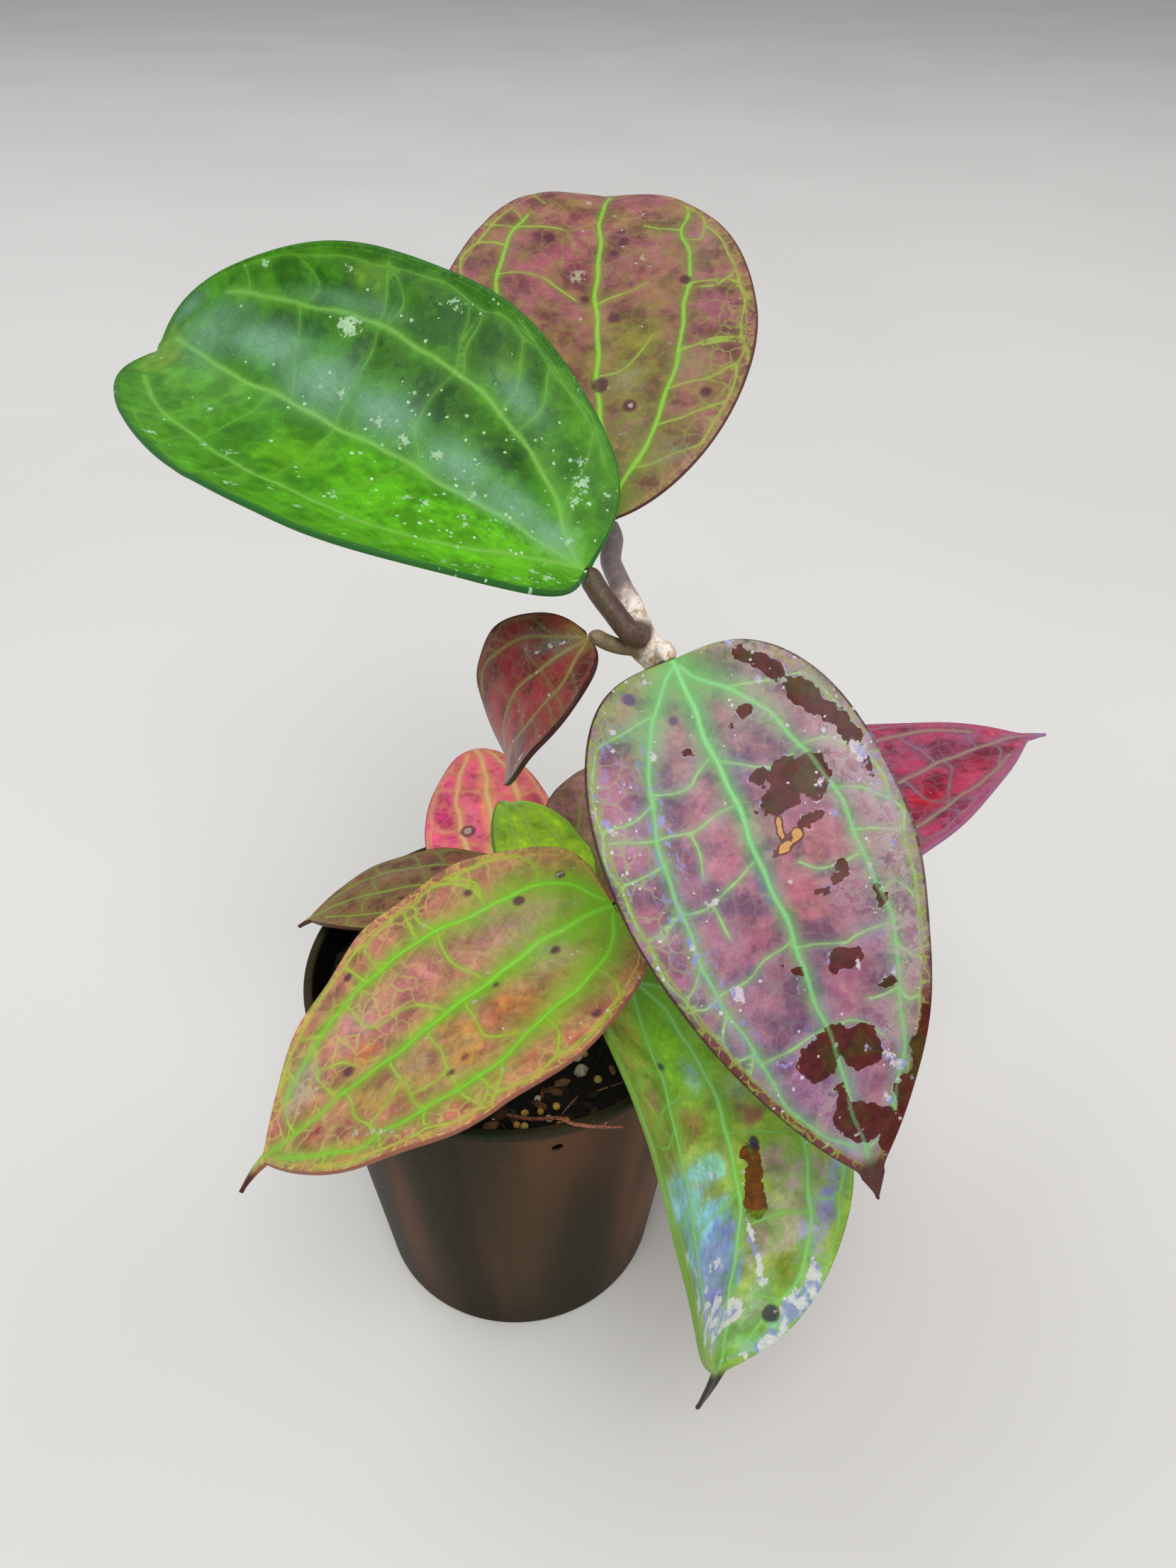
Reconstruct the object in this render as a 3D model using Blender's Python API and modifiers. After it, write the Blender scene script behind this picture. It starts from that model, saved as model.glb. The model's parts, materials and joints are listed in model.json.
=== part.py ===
"""Potted hoya: a nursery pot of potting mix, two leafy stems and eleven leaf blades.

Lengths below are in millimetres and angles in degrees, and become metres where a mesh is made.
The origin is the centre of the pot's flat underside, with +Z up and the plant's front towards -Y.
"""

import math
import random
from dataclasses import dataclass

import bmesh
import bpy
import numpy as np
from mathutils import Matrix, Vector

MM = 0.001
GAP = 0.3  # left between pieces that touch

# Pot
POT_HEIGHT = 106.0
POT_FOOT_R = 39.5
POT_BODY_R = 51.0  # outside, at the height of the rim
RIM_R = 52.0
RIM_DEPTH = 3.0
WALL = 1.2
FLOOR = 1.5
POT_SIDES = 48
HANGER_HOLE_R = 1.4
HANGER_HOLE_Z = 97.0
HANGER_HOLE_ANGLE = -76.0
DRAIN_HOLE_R = 3.5
DRAIN_RING_R = 27.0

# Soil
SOIL_TOP = 96.0
SOIL_SIDES = 36
SOIL_BUMP = 0.9
GRAINS = 48
GRAIN_SEED = 5

# Stems
STEM_R = 2.5
TALL_STEM_FOOT = (26.0, -2.0)
SHORT_STEM_FOOT = (3.0, 2.0)
STEM_BURIED = 16.0
STEM_STEP = 4.5  # length between a tube's rings
STRAND_R = 0.45

# Leaves
BLADE = 1.2  # thickness away from the midrib
KEEL = 2.4  # thickness at the midrib's base
MIDRIB_STEPS = 96
BASE_HALF_WIDTH = 1.5
TIP_HALF_WIDTH = 0.4
OUTER_VEIN = 0.85  # place of the outer side vein, as a part of the half width
RELIEF = 0.5  # height of the cells between the veins
CHANNEL = 0.45  # depth of the groove over the midrib


@dataclass
class Leaf:
    """One blade. Its midrib starts at base and bends down by arch evenly, by droop towards the tip."""

    base: tuple
    heading: float  # from +Y towards +X
    pitch: float
    roll: float
    length: float
    width: float
    arch: float = 0.0
    droop: float = 0.0
    droop_power: float = 3.0
    sweep: float = 0.0
    twist: float = 0.0
    fold: float = 5.0
    cup_right: float = 10.0
    cup_left: float = 10.0
    lobe: float = 0.04  # how far the base's ears reach back, as a part of the length
    peak: float = 0.4  # where the blade is widest
    full: float = 1.2
    tail: float = 0.06  # the narrow drip tip, as a part of the length
    spout: float = 0.05  # half width where the drip tip starts, as a part of half the width
    point: float = 0.0  # how far the blade's end narrows from round to a plain V
    vein: float = 0.58  # place of the inner side vein
    cells: float = 8.0
    wave: float = 0.5
    waves: float = 3.0
    turn_right: float = 0.0  # how far the right margin turns down
    hook: float = 0.0
    seat: float = 0.5  # from the petiole's end to the blade, whose underside leans back there
    rows: int = 17
    colour: tuple = (0.2, 0.3, 0.1)


LEAVES = {
    "leaf_top_left": Leaf(
        base=(17.5, 7.4, 213.7), heading=-73, pitch=28, roll=-18, length=117.0, width=80.5,
        arch=27, droop=75, droop_power=12, sweep=-5, twist=-26, fold=7, cup_right=20, cup_left=47,
        lobe=0.034, peak=0.44, full=1.24, wave=0.7, seat=0.8, colour=(0.13, 0.30, 0.03),
    ),
    "leaf_top_rear": Leaf(
        base=(23.4, 28.1, 215.1), heading=-8, pitch=39, roll=-11, length=109.5, width=73.0,
        arch=17, droop=95, droop_power=9, sweep=-12, twist=4, fold=6, cup_right=-3, cup_left=-5,
        lobe=0.006, peak=0.48, full=1.38, vein=0.61, wave=0.6, colour=(0.20, 0.15, 0.09),
    ),
    "leaf_small_red": Leaf(
        base=(18.4, -0.4, 202.4), heading=-116, pitch=-17, roll=-9, length=41.5, width=35.5,
        arch=92, droop=8, sweep=-14, twist=15, fold=3, cup_right=16, cup_left=15,
        lobe=0.013, peak=0.48, full=1.23, spout=0.085, cells=5, wave=0.3, rows=13,
        colour=(0.12, 0.025, 0.02),
    ),
    "leaf_front_right": Leaf(
        base=(35.1, -4.5, 199.5), heading=155, pitch=-28, roll=19, length=117.0, width=60.0,
        arch=27, droop=11, sweep=-3, twist=-6, fold=8, cup_right=1, cup_left=3,
        lobe=0.019, peak=0.36, full=1.31, tail=0.05, spout=0.085, vein=0.62, wave=0.8, waves=3.5,
        turn_right=1.6, colour=(0.22, 0.14, 0.15),
    ),
    "leaf_far_right": Leaf(
        base=(60.9, 8.8, 133.5), heading=58, pitch=10, roll=-5, length=92.0, width=58.0,
        arch=-2, droop=20, sweep=-12, twist=-7, fold=3, cup_right=8, cup_left=6,
        lobe=0.039, peak=0.31, full=1.23, point=0.3, vein=0.5, seat=0.75, colour=(0.25, 0.02, 0.05),
    ),
    "leaf_front_left": Leaf(
        base=(24.6, -14.8, 140.6), heading=-117, pitch=-14, roll=-3, length=104.0, width=70.5,
        arch=21, droop=-2, sweep=1, twist=22, fold=5, cup_right=6, cup_left=6,
        lobe=0.045, peak=0.44, full=1.06, tail=0.09, point=0.45, vein=0.62, wave=0.8, waves=4, hook=20,
        seat=0.75, colour=(0.22, 0.18, 0.06),
    ),
    "leaf_hanging": Leaf(
        base=(28.8, -18.5, 119.6), heading=143, pitch=0, roll=-15, length=108.5, width=61.5,
        arch=99, droop=-6, sweep=-14, twist=-1, fold=1, cup_right=46, cup_left=42,
        lobe=0.066, peak=0.41, full=1.15, tail=0.11, point=0.45, vein=0.54, wave=0.5,
        seat=0.9, colour=(0.16, 0.28, 0.05),
    ),
    "leaf_rear_left": Leaf(
        base=(0.9, 17.7, 116.9), heading=-92, pitch=8, roll=12, length=59.0, width=39.5,
        arch=28, droop=13, sweep=1, twist=4, fold=0, cup_right=-1, cup_left=-2,
        lobe=0.040, peak=0.41, full=1.21, point=0.35, cells=6, wave=0.3, rows=13, colour=(0.13, 0.07, 0.03),
    ),
    "leaf_rear_pink": Leaf(
        base=(-5.2, 25.6, 109.8), heading=-4, pitch=7, roll=-4, length=64.5, width=37.5,
        arch=2, droop=57, droop_power=7, sweep=9, twist=5, fold=1, cup_right=1, cup_left=1,
        lobe=0.030, peak=0.32, full=1.18, cells=6, wave=0.3, rows=13, colour=(0.45, 0.10, 0.08),
    ),
    "leaf_rear_green": Leaf(
        base=(12.3, 2.4, 123.0), heading=-18, pitch=17, roll=16, length=42.5, width=27.5,
        arch=13, droop=87, droop_power=9, sweep=-2, twist=2, fold=6, cup_right=10, cup_left=10,
        lobe=0.040, peak=0.36, full=1.17, cells=5, wave=0.3, rows=13, colour=(0.16, 0.32, 0.04),
    ),
    "leaf_rear_maroon": Leaf(
        base=(22.2, 11.7, 117.6), heading=10, pitch=13, roll=1, length=61.0, width=37.5,
        arch=21, droop=57, droop_power=7, sweep=3, twist=0, fold=5, cup_right=11, cup_left=10,
        lobe=0.041, peak=0.38, full=1.17, cells=6, wave=0.3, rows=13, colour=(0.08, 0.035, 0.03),
    ),
}

# Petioles: the points from the stem out, the radius, and the straight run into the blade.
TALL_PETIOLES = {
    "leaf_top_left": (
        [
            (28.6, 3.0, 201.8), (27.9, -0.6, 202.8), (25.8, -0.3, 204.8), (23.6, 2.2, 206.7),
            (20.7, 5.2, 209.3),
        ],
        2.4, 1.8,
    ),
    "leaf_top_rear": ([(26.4, 9.6, 205.6), (24.8, 14.0, 207.8), (23.3, 19.5, 209.6)], 2.3, 4.5),
    "leaf_small_red": ([(30.2, 2.6, 198.4), (25.4, 0.8, 199.4), (21.8, 0.6, 200.8)], 1.7, 1.8),
    "leaf_front_right": ([(32.0, 2.4, 198.0), (33.4, 0.4, 199.4)], 2.0, 2.5),
    "leaf_far_right": ([(39.2, 4.0, 141.0), (46.0, 4.4, 134.0)], 2.0, 6.0),
    "leaf_front_left": ([(38.6, 3.4, 146.0), (34.8, -4.0, 145.0)], 2.1, 5.0),
    "leaf_hanging": ([(28.8, -1.6, 111.0), (25.6, -8.0, 115.6)], 2.1, 5.0),
    "leaf_rear_maroon": ([(28.8, -1.4, 109.0), (24.0, 3.0, 112.6)], 1.6, 3.5),
}
SHORT_PETIOLES = {
    "leaf_rear_left": ([(3.2, 2.4, 102.0), (6.4, 9.5, 105.5), (7.6, 16.4, 112.0)], 1.4, 3.0),
    "leaf_rear_pink": ([(3.0, 2.6, 102.0), (0.4, 10.0, 103.8), (-3.4, 17.4, 106.2)], 1.4, 3.5),
    "leaf_rear_green": ([(3.4, 1.8, 103.4), (8.8, -1.6, 108.4), (13.0, -3.4, 115.4)], 1.4, 3.5),
}
PETIOLE_END_R = 1.5  # the most that a petiole measures where it meets its blade
STRAND_POINTS = [
    (6.0, -43.4, 100.6), (12.4, -47.6, 106.6), (16.0, -49.4, 106.9), (21.9, -50.8, 107.8),
    (26.7, -51.4, 108.7),
]
STRAND_FOOT = (0.4, -39.6)


def clear_scene():
    for obj in list(bpy.data.objects):
        bpy.data.objects.remove(obj)


def new_collection(name, parent):
    collection = bpy.data.collections.new(name)
    parent.children.link(collection)
    return collection


def material(name, colour, roughness):
    made = bpy.data.materials.new(name)
    made.use_nodes = True
    shader = made.node_tree.nodes["Principled BSDF"]
    shader.inputs["Base Color"].default_value = (*colour, 1.0)
    shader.inputs["Roughness"].default_value = roughness
    shader.inputs["Metallic"].default_value = 0.0
    return made


def add_object(name, mesh, collection, finish=None):
    obj = bpy.data.objects.new(name, mesh)
    collection.objects.link(obj)
    if finish:
        mesh.materials.clear()
        mesh.materials.append(finish)
    return obj


def mesh_from(name, build):
    """A mesh that the function build fills through bmesh."""
    mesh = bpy.data.meshes.new(name)
    work = bmesh.new()
    build(work)
    work.to_mesh(mesh)
    work.free()
    return mesh


def applied_mesh(obj, name):
    """The object's mesh with its modifiers applied and its loose caps welded. The object goes."""
    bpy.context.view_layer.update()
    graph = bpy.context.evaluated_depsgraph_get()
    mesh = bpy.data.meshes.new_from_object(obj.evaluated_get(graph))
    mesh.name = name
    work = bmesh.new()
    work.from_mesh(mesh)
    bmesh.ops.remove_doubles(work, verts=work.verts, dist=0.00001)
    work.to_mesh(mesh)
    work.free()
    bpy.data.objects.remove(obj)
    return mesh


def combine(mesh, others, operation, name):
    """Mesh joined with, or cut by, all objects of a collection, which are then removed."""
    obj = bpy.data.objects.new(name, mesh)
    bpy.context.scene.collection.objects.link(obj)
    boolean = obj.modifiers.new("boolean", "BOOLEAN")
    boolean.operation = operation
    boolean.operand_type = "COLLECTION"
    boolean.collection = others
    boolean.solver = "EXACT"
    result = applied_mesh(obj, name)
    for other in list(others.objects):
        bpy.data.objects.remove(other)
    return result


def smooth(obj, angle=40.0):
    obj.data.shade_smooth()
    obj.data.set_sharp_from_angle(angle=math.radians(angle))


def turned_mesh(name, profile, steps):
    """A solid turned about Z from a profile of (radius, height) that starts and ends on the axis."""
    mesh = bpy.data.meshes.new(name)
    points = [(r * MM, 0.0, z * MM) for r, z in profile]
    mesh.from_pydata(points, [(i, i + 1) for i in range(len(points) - 1)], [])
    obj = bpy.data.objects.new(name, mesh)
    bpy.context.scene.collection.objects.link(obj)
    screw = obj.modifiers.new("screw", "SCREW")
    screw.steps = screw.render_steps = steps
    screw.use_merge_vertices = True
    screw.merge_threshold = 0.00005
    screw.use_smooth_shade = False
    return applied_mesh(obj, name)


def cylinder(name, radius, length, sides, place, collection):
    def build(work):
        bmesh.ops.create_cone(
            work, cap_ends=True, segments=sides, radius1=radius * MM, radius2=radius * MM,
            depth=length * MM, matrix=place,
        )

    obj = add_object(name, mesh_from(name, build), collection)
    obj.hide_render = True
    obj.display_type = "WIRE"
    return obj


def pot_outer_radius(z):
    return POT_FOOT_R + (POT_BODY_R - POT_FOOT_R) * z / POT_HEIGHT


def make_pot(parts, cutters):
    lip_z = POT_HEIGHT - RIM_DEPTH
    inner_foot = pot_outer_radius(FLOOR) - WALL
    inner_top = pot_outer_radius(POT_HEIGHT) - WALL
    profile = [
        (0.0, FLOOR),
        (inner_foot, FLOOR),
        (inner_top, POT_HEIGHT - 0.3),
        (inner_top + 0.3, POT_HEIGHT),
        (RIM_R - 0.5, POT_HEIGHT),
        (RIM_R, POT_HEIGHT - 0.6),
        (RIM_R, lip_z + 0.5),
        (pot_outer_radius(lip_z), lip_z),
        (pot_outer_radius(1.5), 1.5),
        (POT_FOOT_R - 1.2, 0.0),
        (0.0, 0.0),
    ]
    mesh = turned_mesh("pot", profile, POT_SIDES)
    for i in range(4):
        angle = math.radians(HANGER_HOLE_ANGLE + 90.0 * i)
        place = (
            Matrix.Rotation(angle, 4, "Z")
            @ Matrix.Translation((POT_BODY_R * MM, 0.0, HANGER_HOLE_Z * MM))
            @ Matrix.Rotation(math.radians(90.0), 4, "Y")
        )
        cylinder(f"hanger_cut_{i}", HANGER_HOLE_R, 12.0, 12, place, cutters)
    for i in range(6):
        angle = math.radians(30.0 + 60.0 * i)
        place = Matrix.Rotation(angle, 4, "Z") @ Matrix.Translation((DRAIN_RING_R * MM, 0.0, 0.0))
        cylinder(f"drain_cut_{i}", DRAIN_HOLE_R, 8.0, 16, place, cutters)
    mesh = combine(mesh, cutters, "DIFFERENCE", "pot")
    smooth(add_object("pot", mesh, parts, material("pot_plastic", (0.015, 0.03, 0.018), 0.35)))


def soil_height(x, y):
    """Height of the soil's top at a place, with its low bumps."""
    bumps = (
        math.sin(0.31 * x + 0.6) * math.cos(0.27 * y - 0.4)
        + 0.6 * math.sin(0.53 * x - 0.41 * y)
        + 0.4 * math.cos(0.83 * y + 0.35 * x)
    )
    return SOIL_TOP + SOIL_BUMP * bumps * 0.6


def add_grains(collection):
    """Perlite, prills and bark, sunk half into the soil's top."""
    draw = random.Random(GRAIN_SEED)
    for i in range(GRAINS):
        reach = 43.0 * math.sqrt(draw.uniform(0.0, 1.0))
        angle = draw.uniform(-math.pi, math.pi)
        x, y = reach * math.cos(angle), reach * math.sin(angle)
        size = draw.uniform(1.1, 2.0)
        turn = Matrix.Rotation(draw.uniform(0.0, math.pi), 4, "Z")
        near_stem = any(
            math.hypot(x - foot[0], y - foot[1]) < 6.0 for foot in (TALL_STEM_FOOT, SHORT_STEM_FOOT)
        )
        if near_stem:
            continue
        place = Matrix.Translation(Vector((x, y, soil_height(x, y) + 0.25 * size)) * MM)
        shape = Matrix.Diagonal((1.0, draw.uniform(0.7, 1.0), draw.uniform(0.6, 0.9), 1.0))

        def build(work):
            bmesh.ops.create_icosphere(
                work, subdivisions=1, radius=size * MM, matrix=place @ turn @ shape
            )

        add_object(f"grain_{i}", mesh_from(f"grain_{i}", build), collection)


def make_soil(parts, cutters, grains):
    foot_z = FLOOR + GAP
    foot_r = pot_outer_radius(foot_z) - WALL - GAP - 0.1
    top_r = pot_outer_radius(SOIL_TOP) - WALL - GAP - 0.1
    rings = 10
    profile = [(0.0, SOIL_TOP)]
    profile += [(top_r * i / rings, SOIL_TOP) for i in range(1, rings + 1)]
    profile += [(foot_r, foot_z), (0.0, foot_z)]
    mesh = turned_mesh("soil", profile, SOIL_SIDES)
    for vertex in mesh.vertices:
        x, y, z = vertex.co / MM
        if z > SOIL_TOP - 1.0 and math.hypot(x, y) < top_r - 0.5:
            vertex.co.z = soil_height(x, y) * MM
    add_grains(grains)
    mesh = combine(mesh, grains, "UNION", "soil")
    for i, (x, y) in enumerate((TALL_STEM_FOOT, SHORT_STEM_FOOT)):
        depth = STEM_BURIED + GAP
        place = Matrix.Translation((x * MM, y * MM, (SOIL_TOP - depth + 20.0) * MM))
        cylinder(f"stem_hole_{i}", STEM_R + GAP + 0.1, 40.0, 12, place, cutters)
    mesh = combine(mesh, cutters, "DIFFERENCE", "soil")
    smooth(add_object("soil", mesh, parts, material("potting_mix", (0.025, 0.017, 0.012), 0.95)))


def curve_points(points, step):
    """Places along a smooth curve through the points, about a step apart, with their parameter."""
    p = [Vector(q) for q in points]
    p = [2 * p[0] - p[1]] + p + [2 * p[-1] - p[-2]]
    placed = []
    for i in range(1, len(p) - 2):
        count = max(1, round((p[i + 1] - p[i]).length / step))
        for k in range(count):
            u = k / count
            before, start, end, after = p[i - 1], p[i], p[i + 1], p[i + 2]
            place = 0.5 * (
                2 * start
                + (end - before) * u
                + (2 * before - 5 * start + 4 * end - after) * u * u
                + (3 * start - before - 3 * end + after) * u**3
            )
            placed.append((place, i - 1 + u))
    placed.append((p[-2], len(points) - 1.0))
    return placed


def tube_mesh(name, points, radii, step=STEM_STEP):
    """A round tube with filled caps through the points. radii has one value for each point."""
    placed = curve_points(points, step)
    curve = bpy.data.curves.new(name, "CURVE")
    curve.dimensions = "3D"
    curve.bevel_depth = MM
    curve.bevel_resolution = 2
    curve.use_fill_caps = True
    spline = curve.splines.new("POLY")
    spline.points.add(len(placed) - 1)
    for point, (place, parameter) in zip(spline.points, placed):
        point.co = (*(place * MM), 1.0)
        point.radius = float(np.interp(parameter, range(len(radii)), radii))
    obj = bpy.data.objects.new(name, curve)
    bpy.context.scene.collection.objects.link(obj)
    return applied_mesh(obj, name)


def start_frame(leaf):
    """Rotation whose columns are along the midrib, to the blade's right, and up from it."""
    heading, pitch = math.radians(leaf.heading), math.radians(leaf.pitch)
    along = Vector(
        (math.cos(pitch) * math.sin(heading), math.cos(pitch) * math.cos(heading), math.sin(pitch))
    )
    right = Vector((math.cos(heading), -math.sin(heading), 0.0))
    rolled = Matrix.Rotation(math.radians(leaf.roll), 3, along)
    right = rolled @ right
    up = right.cross(along)
    return Matrix((along, right, up)).transposed()


def midrib(leaf):
    """Places and frames at even steps from the blade's base to its tip."""
    frame = start_frame(leaf)
    place = Vector(leaf.base)
    places, frames = [place.copy()], [frame.copy()]
    step = 1.0 / MIDRIB_STEPS
    for i in range(MIDRIB_STEPS):
        s = (i + 0.5) * step
        down = leaf.arch * step + leaf.droop * leaf.droop_power * s ** (leaf.droop_power - 1) * step
        if s > 1.0 - leaf.tail:
            down += leaf.hook * step / leaf.tail
        half = Matrix.Rotation(math.radians(-down / 2), 3, frame.col[1])
        place = place + (half @ frame.col[0]) * leaf.length * step
        frame = Matrix.Rotation(math.radians(-down), 3, frame.col[1]) @ frame
        frame = Matrix.Rotation(math.radians(leaf.sweep * step), 3, frame.col[2]) @ frame
        frame = Matrix.Rotation(math.radians(leaf.twist * step), 3, frame.col[0]) @ frame
        places.append(place.copy())
        frames.append(frame.copy())
    return places, frames


def half_width(leaf, s):
    """The blade's half width at s, from 0 at the base to 1 at the tip."""
    q = min(max(s / (1.0 - leaf.tail), 1e-6), 1.0)
    body = 0.0
    if q < 1.0:
        rise = (q / leaf.peak) ** leaf.peak
        fall = ((1.0 - q) / (1.0 - leaf.peak)) ** (1.0 - leaf.peak)
        body = (rise * fall) ** leaf.full * (1.0 - leaf.point * q**16)
    spike = leaf.spout * min(max((1.0 - s) / leaf.tail, 0.0), 1.0) * q**8
    least = BASE_HALF_WIDTH if s < 0.5 else TIP_HALF_WIDTH
    return max(leaf.width / 2 * max(body, spike), least)


def inner_vein(leaf, s):
    return leaf.vein * (1.0 - math.exp(-(s + 0.01) / 0.12))


def surface_relief(leaf, s, t):
    """Height of the surface over the plain blade: cells between the veins, a channel on the midrib."""
    side, vein = abs(t), inner_vein(leaf, s)
    if side < vein:
        across = math.sin(math.pi * side / vein)
    else:
        across = abs(math.sin(math.pi * (side - vein) / (OUTER_VEIN - vein)))
    along = abs(math.sin(math.pi * (leaf.cells * s + 0.7 * side)))
    size = half_width(leaf, s) / (leaf.width / 2)
    cells = RELIEF * size * min(across, 1.0) * (0.35 + 0.65 * along)
    channel = CHANNEL * size * math.exp(-((t / 0.07) ** 2))
    edge = max(0.0, (side - 0.5) / 0.5) ** 2
    wave = leaf.wave * edge * size * math.sin(2 * math.pi * leaf.waves * s + 1.6 * math.copysign(1, t))
    turn = 0.0
    if t > 0.0 and s > 0.2:
        turn = leaf.turn_right * max(0.0, (side - 0.7) / 0.3) ** 2 * math.sin(math.pi * (s - 0.2) / 0.8)
    return cells - channel + wave - turn


def blade_point(leaf, places, frames, s, t):
    """The place on the blade's upper face at s along it and t across it, from -1 at its left."""
    at = s * MIDRIB_STEPS
    i = min(int(at), MIDRIB_STEPS - 1)
    part = at - i
    place = places[i].lerp(places[i + 1], part)
    frame = frames[i].lerp(frames[i + 1], part)
    wide = half_width(leaf, s)
    cup = math.radians(leaf.cup_right if t >= 0 else leaf.cup_left)
    cup = cup if abs(cup) > 0.001 else 0.001
    side = abs(t)
    out, rise = math.sin(cup * side) / cup, (1.0 - math.cos(cup * side)) / cup
    fold = math.radians(leaf.fold)
    across = (out * math.cos(fold) - rise * math.sin(fold)) * math.copysign(wide, t)
    above = (out * math.sin(fold) + rise * math.cos(fold)) * wide
    back = leaf.lobe * leaf.length * side**1.5 * (s / 0.07) * math.exp(1.0 - s / 0.07)
    lift = above + surface_relief(leaf, s, t)
    return place - frame.col[0] * back + frame.col[1] * across + frame.col[2] * lift


def blade_columns(leaf, s, fine):
    """Where the blade's lengthwise lines of points run across it at s: on its veins, and between."""
    vein = inner_vein(leaf, s)
    right = [vein / 2, vein, (vein + OUTER_VEIN) / 2, OUTER_VEIN, 1.0] if fine else [
        vein / 2, vein, OUTER_VEIN, 1.0
    ]
    return [-t for t in reversed(right)] + [0.0] + right


def make_leaf(name, leaf, parts):
    fine = leaf.rows > 13
    columns = len(blade_columns(leaf, 0.5, fine))
    places, frames = midrib(leaf)
    mesh = bpy.data.meshes.new(name)
    work = bmesh.new()
    bmesh.ops.create_grid(work, x_segments=columns - 1, y_segments=leaf.rows - 1, size=1.0)
    keel_weights = []
    for vertex in work.verts:
        column = round((vertex.co.x + 1.0) / 2.0 * (columns - 1))
        u = (vertex.co.y + 1.0) / 2.0
        s = u - 0.07 * math.sin(2 * math.pi * u)
        t = blade_columns(leaf, s, fine)[column]
        vertex.co = blade_point(leaf, places, frames, s, t) * MM
        keel_weights.append(math.exp(-((t / 0.16) ** 2)) * max(0.0, 1.0 - s) ** 1.5)
    bmesh.ops.triangulate(work, faces=work.faces, quad_method="SHORT_EDGE")
    work.to_mesh(mesh)
    work.free()
    obj = add_object(name, mesh, parts, material(f"{name}_surface", leaf.colour, 0.32))
    keel = obj.vertex_groups.new(name="keel")
    for index, weight in enumerate(keel_weights):
        keel.add([index], weight, "REPLACE")
    solidify = obj.modifiers.new("thickness", "SOLIDIFY")
    solidify.thickness = KEEL * MM
    solidify.offset = -1.0
    solidify.vertex_group = "keel"
    solidify.thickness_vertex_group = BLADE / KEEL
    smooth(obj, 60.0)


def petiole_end(leaf, back):
    """A place behind the blade's base, level with the middle of its thickness there."""
    frame = start_frame(leaf)
    return Vector(leaf.base) - frame.col[0] * back - frame.col[2] * (KEEL / 2)


def add_petioles(petioles, collection):
    for name, (points, radius, run) in petioles.items():
        leaf = LEAVES[name]
        route = list(points) + [petiole_end(leaf, run), petiole_end(leaf, leaf.seat)]
        radii = [radius * 1.15] + [radius] * (len(route) - 2) + [min(radius, PETIOLE_END_R)]
        mesh = tube_mesh(f"petiole_{name}", route, radii, 3.5)
        add_object(f"petiole_{name}", mesh, collection)


def add_knob(place, radius, collection):
    def build(work):
        bmesh.ops.create_icosphere(
            work, subdivisions=2, radius=radius * MM, matrix=Matrix.Translation(Vector(place) * MM)
        )

    add_object("knob", mesh_from("knob", build), collection)


def make_tall_vine(parts, shoots):
    x, y = TALL_STEM_FOOT
    route = [
        (26.4, 10.2, 205.8), (28.2, 5.0, 202.6), (29.9, 2.4, 199.2), (33.2, 2.8, 194.6),
        (36.8, 4.6, 187.5), (39.4, 5.6, 174.0), (40.2, 5.2, 159.0), (39.0, 3.8, 144.0),
        (35.0, 1.4, 127.0), (29.6, -1.4, 110.5), (x + 0.4, y, 101.0), (x, y, 94.0),
        (x, y, SOIL_TOP - STEM_BURIED),
    ]
    radii = [2.7, 3.1, 3.6, 3.1, 2.6, 2.4, 2.4, 3.0, 2.5, 2.9, STEM_R, STEM_R, STEM_R]
    add_petioles(TALL_PETIOLES, shoots)
    add_knob((27.3, -2.6, 203.9), 1.1, shoots)
    mesh = combine(tube_mesh("vine_tall", route, radii), shoots, "UNION", "vine_tall")
    smooth(add_object("vine_tall", mesh, parts, material("cork_bark", (0.36, 0.27, 0.18), 0.8)), 60.0)


def make_short_vine(parts, shoots):
    x, y = SHORT_STEM_FOOT
    route = [(x + 0.2, y + 0.2, 106.0), (x, y, 101.0), (x, y, SOIL_TOP - STEM_BURIED)]
    add_petioles(SHORT_PETIOLES, shoots)
    tube = tube_mesh("vine_short", route, [1.9, STEM_R, STEM_R])
    mesh = combine(tube, shoots, "UNION", "vine_short")
    smooth(add_object("vine_short", mesh, parts, material("green_bark", (0.20, 0.16, 0.08), 0.7)), 60.0)


def make_strand(parts):
    x, y = STRAND_FOOT
    route = [(x, y, soil_height(x, y) + GAP + STRAND_R + 0.2)] + STRAND_POINTS
    mesh = tube_mesh("root_strand", route, [STRAND_R] * len(route), 2.5)
    smooth(add_object("root_strand", mesh, parts, material("dry_root", (0.20, 0.07, 0.04), 0.8)))


def main():
    clear_scene()
    scene = bpy.context.scene
    scene.unit_settings.system = "METRIC"
    parts = new_collection("potted_hoya", scene.collection)
    cutters = new_collection("cutters", scene.collection)
    shoots = new_collection("shoots", scene.collection)
    for helper in (cutters, shoots):
        helper.hide_render = True
    make_pot(parts, cutters)
    make_soil(parts, cutters, shoots)
    make_tall_vine(parts, shoots)
    make_short_vine(parts, shoots)
    make_strand(parts)
    for name, leaf in LEAVES.items():
        make_leaf(name, leaf, parts)


main()
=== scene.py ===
"""Looks of the potted hoya: fine leaves with their veins and painted sheen on their wet surface, stems, soil
and pot.

Lengths are in millimetres, and become metres where a mesh is made. On a blade, s runs from 0 at its
base to 1 at its tip, and t from -1 at its left margin to 1 at its right one.
"""
import json
import math
import random
from dataclasses import dataclass, field
from types import SimpleNamespace

import bmesh
import bpy
import numpy as np
from mathutils import Matrix, Vector, noise

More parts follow.
